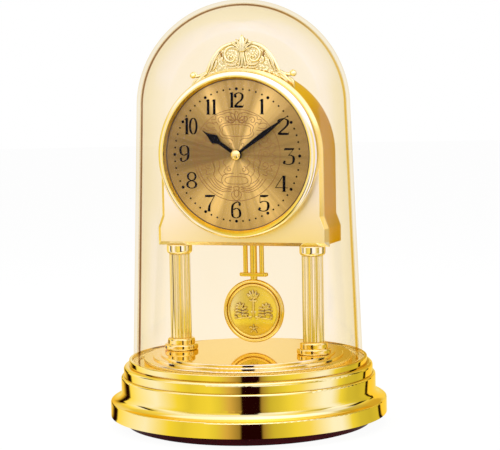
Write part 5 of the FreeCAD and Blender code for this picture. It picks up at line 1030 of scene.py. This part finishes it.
LAMP_AIM = Vector((0, 0, 0.12))
for name, place, size, watts in (
        ("key", (-0.55, -0.75, 0.75), 0.6, 5.5), ("fill", (0.85, -0.55, 0.35), 0.5, 2.6),
        ("top", (0.0, 0.1, 1.0), 0.7, 4.0)):
    lamp = bpy.data.lights.new(name, "AREA")
    lamp.shape = "SQUARE"
    lamp.size = size
    lamp.energy = watts
    thing = bpy.data.objects.new(name, lamp)
    scene.collection.objects.link(thing)
    thing.location = place
    thing.rotation_mode = "QUATERNION"
    thing.rotation_quaternion = (LAMP_AIM - Vector(place)).to_track_quat("-Z", "Y")

# Light tent: seen only in gloss. Its tones depend on the azimuth from the camera and on the height, with a
# dark gap towards the camera and dark seams at the sides.
CAMERA_AZIMUTH = math.radians(19.07)
TENT_STRENGTH = 2.3
TENT_SIDES = 144
TENT_PROFILE = (
    (0.0885, 0.0006), (0.094, 0.003), (0.104, 0.01), (0.122, 0.025), (0.15, 0.05), (0.176, 0.075),
    (0.198, 0.105), (0.21, 0.145), (0.214, 0.2), (0.206, 0.26), (0.182, 0.31), (0.14, 0.345),
    (0.085, 0.366), (0.03, 0.376))  # radius and height, in metres
DARK = (0.006, 0.0005, 0.001)
WARM = (1.0, 0.9, 0.36)
WHITE = (1.0, 1.1, 2.2)
CREAM = (1.0, 1.0, 1.15)
GOLD = (1.0, 0.92, 0.19)
AMBER = (1.0, 0.74, 0.16)
BROWN = (1.0, 0.72, 0.3)
# Degrees to the right of the camera, tone and brightness
LOW_TONES = (
    (-180, WARM, 0.42), (-146, WARM, 0.42), (-134, AMBER, 0.42), (-122, DARK, 1), (-113, DARK, 1),
    (-110, WARM, 0.48), (-71, WHITE, 0.46), (-61, CREAM, 0.45), (-51, GOLD, 0.43), (-41, GOLD, 0.36),
    (-33, GOLD, 0.4), (-26, GOLD, 0.415), (-20, GOLD, 0.36), (-13, BROWN, 0.31), (-5.6, BROWN, 0.15),
    (-4.9, DARK, 1), (7.8, DARK, 1), (8.5, BROWN, 0.17), (14.5, GOLD, 0.28), (21, GOLD, 0.33),
    (28, GOLD, 0.4), (37, WARM, 0.43), (54, WHITE, 0.46), (61, WHITE, 0.45), (70, GOLD, 0.4),
    (79, GOLD, 0.3), (92, GOLD, 0.27), (106, GOLD, 0.32), (107, DARK, 1), (111.5, DARK, 1),
    (113.5, AMBER, 0.5), (144, WARM, 0.42))
MIDDLE_TONES = (
    (-180, CREAM, 0.44), (-150, CREAM, 0.42), (-128, WARM, 0.4), (-116, WARM, 0.5), (-94, WHITE, 0.46),
    (-91, DARK, 1), (-84, DARK, 1), (-81, WARM, 0.34), (-62, WHITE, 0.5), (-44, WARM, 0.3),
    (-30, WARM, 0.4), (-7, WARM, 0.44), (-5.5, DARK, 1), (5.5, DARK, 1), (7, WHITE, 0.4),
    (24, WHITE, 0.52), (44, WARM, 0.34), (58, WARM, 0.22), (64, WHITE, 0.5), (78, WHITE, 0.44),
    (88, WARM, 0.4), (92, DARK, 1), (101, DARK, 1), (104, WARM, 0.4), (124, AMBER, 0.3),
    (158, AMBER, 0.27), (168, CREAM, 0.42), (180, CREAM, 0.44))
HIGH_TONES = (
    (-180, WARM, 0.4), (-130, WARM, 0.34), (-90, WARM, 0.44), (-60, WHITE, 0.44), (-20, WHITE, 0.42),
    (10, WHITE, 0.44), (45, WARM, 0.44), (72, WHITE, 0.4), (92, WHITE, 0.42), (106, WARM, 0.28),
    (142, AMBER, 0.26), (180, WARM, 0.4))
CROWN_TONES = (
    (-180, WARM, 0.36), (-128, WARM, 0.42), (-100, WHITE, 0.52), (-40, WHITE, 0.58), (15, WHITE, 0.78),
    (75, WHITE, 0.66), (112, WHITE, 0.46), (138, WARM, 0.38), (180, WARM, 0.36))

tent_look = Nodes(bpy.data.materials.new("light_tent"))
x, y, z = tent_look.split(tent_look.add("NewGeometry").outputs["Position"])


def along(direction_x, direction_y):
    """How far a place on the tent lies in a level direction."""
    return tent_look.math("ADD", tent_look.times(x, direction_x),
                          tent_look.times(y, direction_y))


camera_x, camera_y = math.sin(CAMERA_AZIMUTH), -math.cos(CAMERA_AZIMUTH)
around = tent_look.math("ARCTAN2", along(-camera_y, camera_x), along(camera_x, camera_y))
around = tent_look.math("DIVIDE", around, TAU)
around = tent_look.times(around, tent_look.fit(z, 0.003, 0.032, 1.32, 1.0))
around = tent_look.math("ADD", around, 0.5)


def tone_ramp(tones):
    return tent_look.ramp(around, [(degrees / 360 + 0.5, tuple(level * part for part in tone))
                                   for degrees, tone, level in tones])


pattern = tone_ramp(LOW_TONES)
for starts, ends, tones in ((0.04, 0.052, MIDDLE_TONES), (0.104, 0.13, HIGH_TONES),
                            (0.225, 0.27, CROWN_TONES)):
    pattern = tent_look.blend(tent_look.fit(z, starts, ends), pattern, tone_ramp(tones))
tent_look.show(tent_look.add("Emission", {"Color": pattern, "Strength": TENT_STRENGTH}))
bm = bmesh.new()
rows = [[bm.verts.new((radius * px, -radius * ph, height))
         for px, ph in clock_arc(1.0, [360 * k / TENT_SIDES for k in range(TENT_SIDES)])]
        for radius, height in TENT_PROFILE]
bridge(bm, rows)
bm.faces.new(rows[-1])
tent = stage_object(bm, "light_tent", tent_look.data)
for ray in ("camera", "diffuse", "transmission", "shadow", "volume_scatter"):
    setattr(tent, "visible_" + ray, False)

# Camera: the photograph's viewing angle, fitted to the clock's measured outline
ELEVATION, ROLL = math.radians(4.48), math.radians(-1.06)
DISTANCE = 0.95269
AIM_RIGHT, AIM_HEIGHT = 0.00259, 0.11801
back = Vector((camera_x * math.cos(ELEVATION), camera_y * math.cos(ELEVATION), math.sin(ELEVATION)))
right = Vector((-camera_y, camera_x, 0.0))
up = back.cross(right)
aim = Vector((-camera_y * AIM_RIGHT, camera_x * AIM_RIGHT, AIM_HEIGHT))
right, up = right * math.cos(ROLL) + up * math.sin(ROLL), up * math.cos(ROLL) - right * math.sin(ROLL)
lens = bpy.data.cameras.new("camera")
lens.sensor_width = 36.0
lens.lens = 115.2
lens.clip_start, lens.clip_end = 0.01, 50.0
camera = bpy.data.objects.new("camera", lens)
scene.collection.objects.link(camera)
turned = Matrix((right, up, back)).transposed().to_4x4()
camera.matrix_world = Matrix.Translation(aim + back * DISTANCE) @ turned
scene.camera = camera
scene.view_settings.view_transform = "Standard"
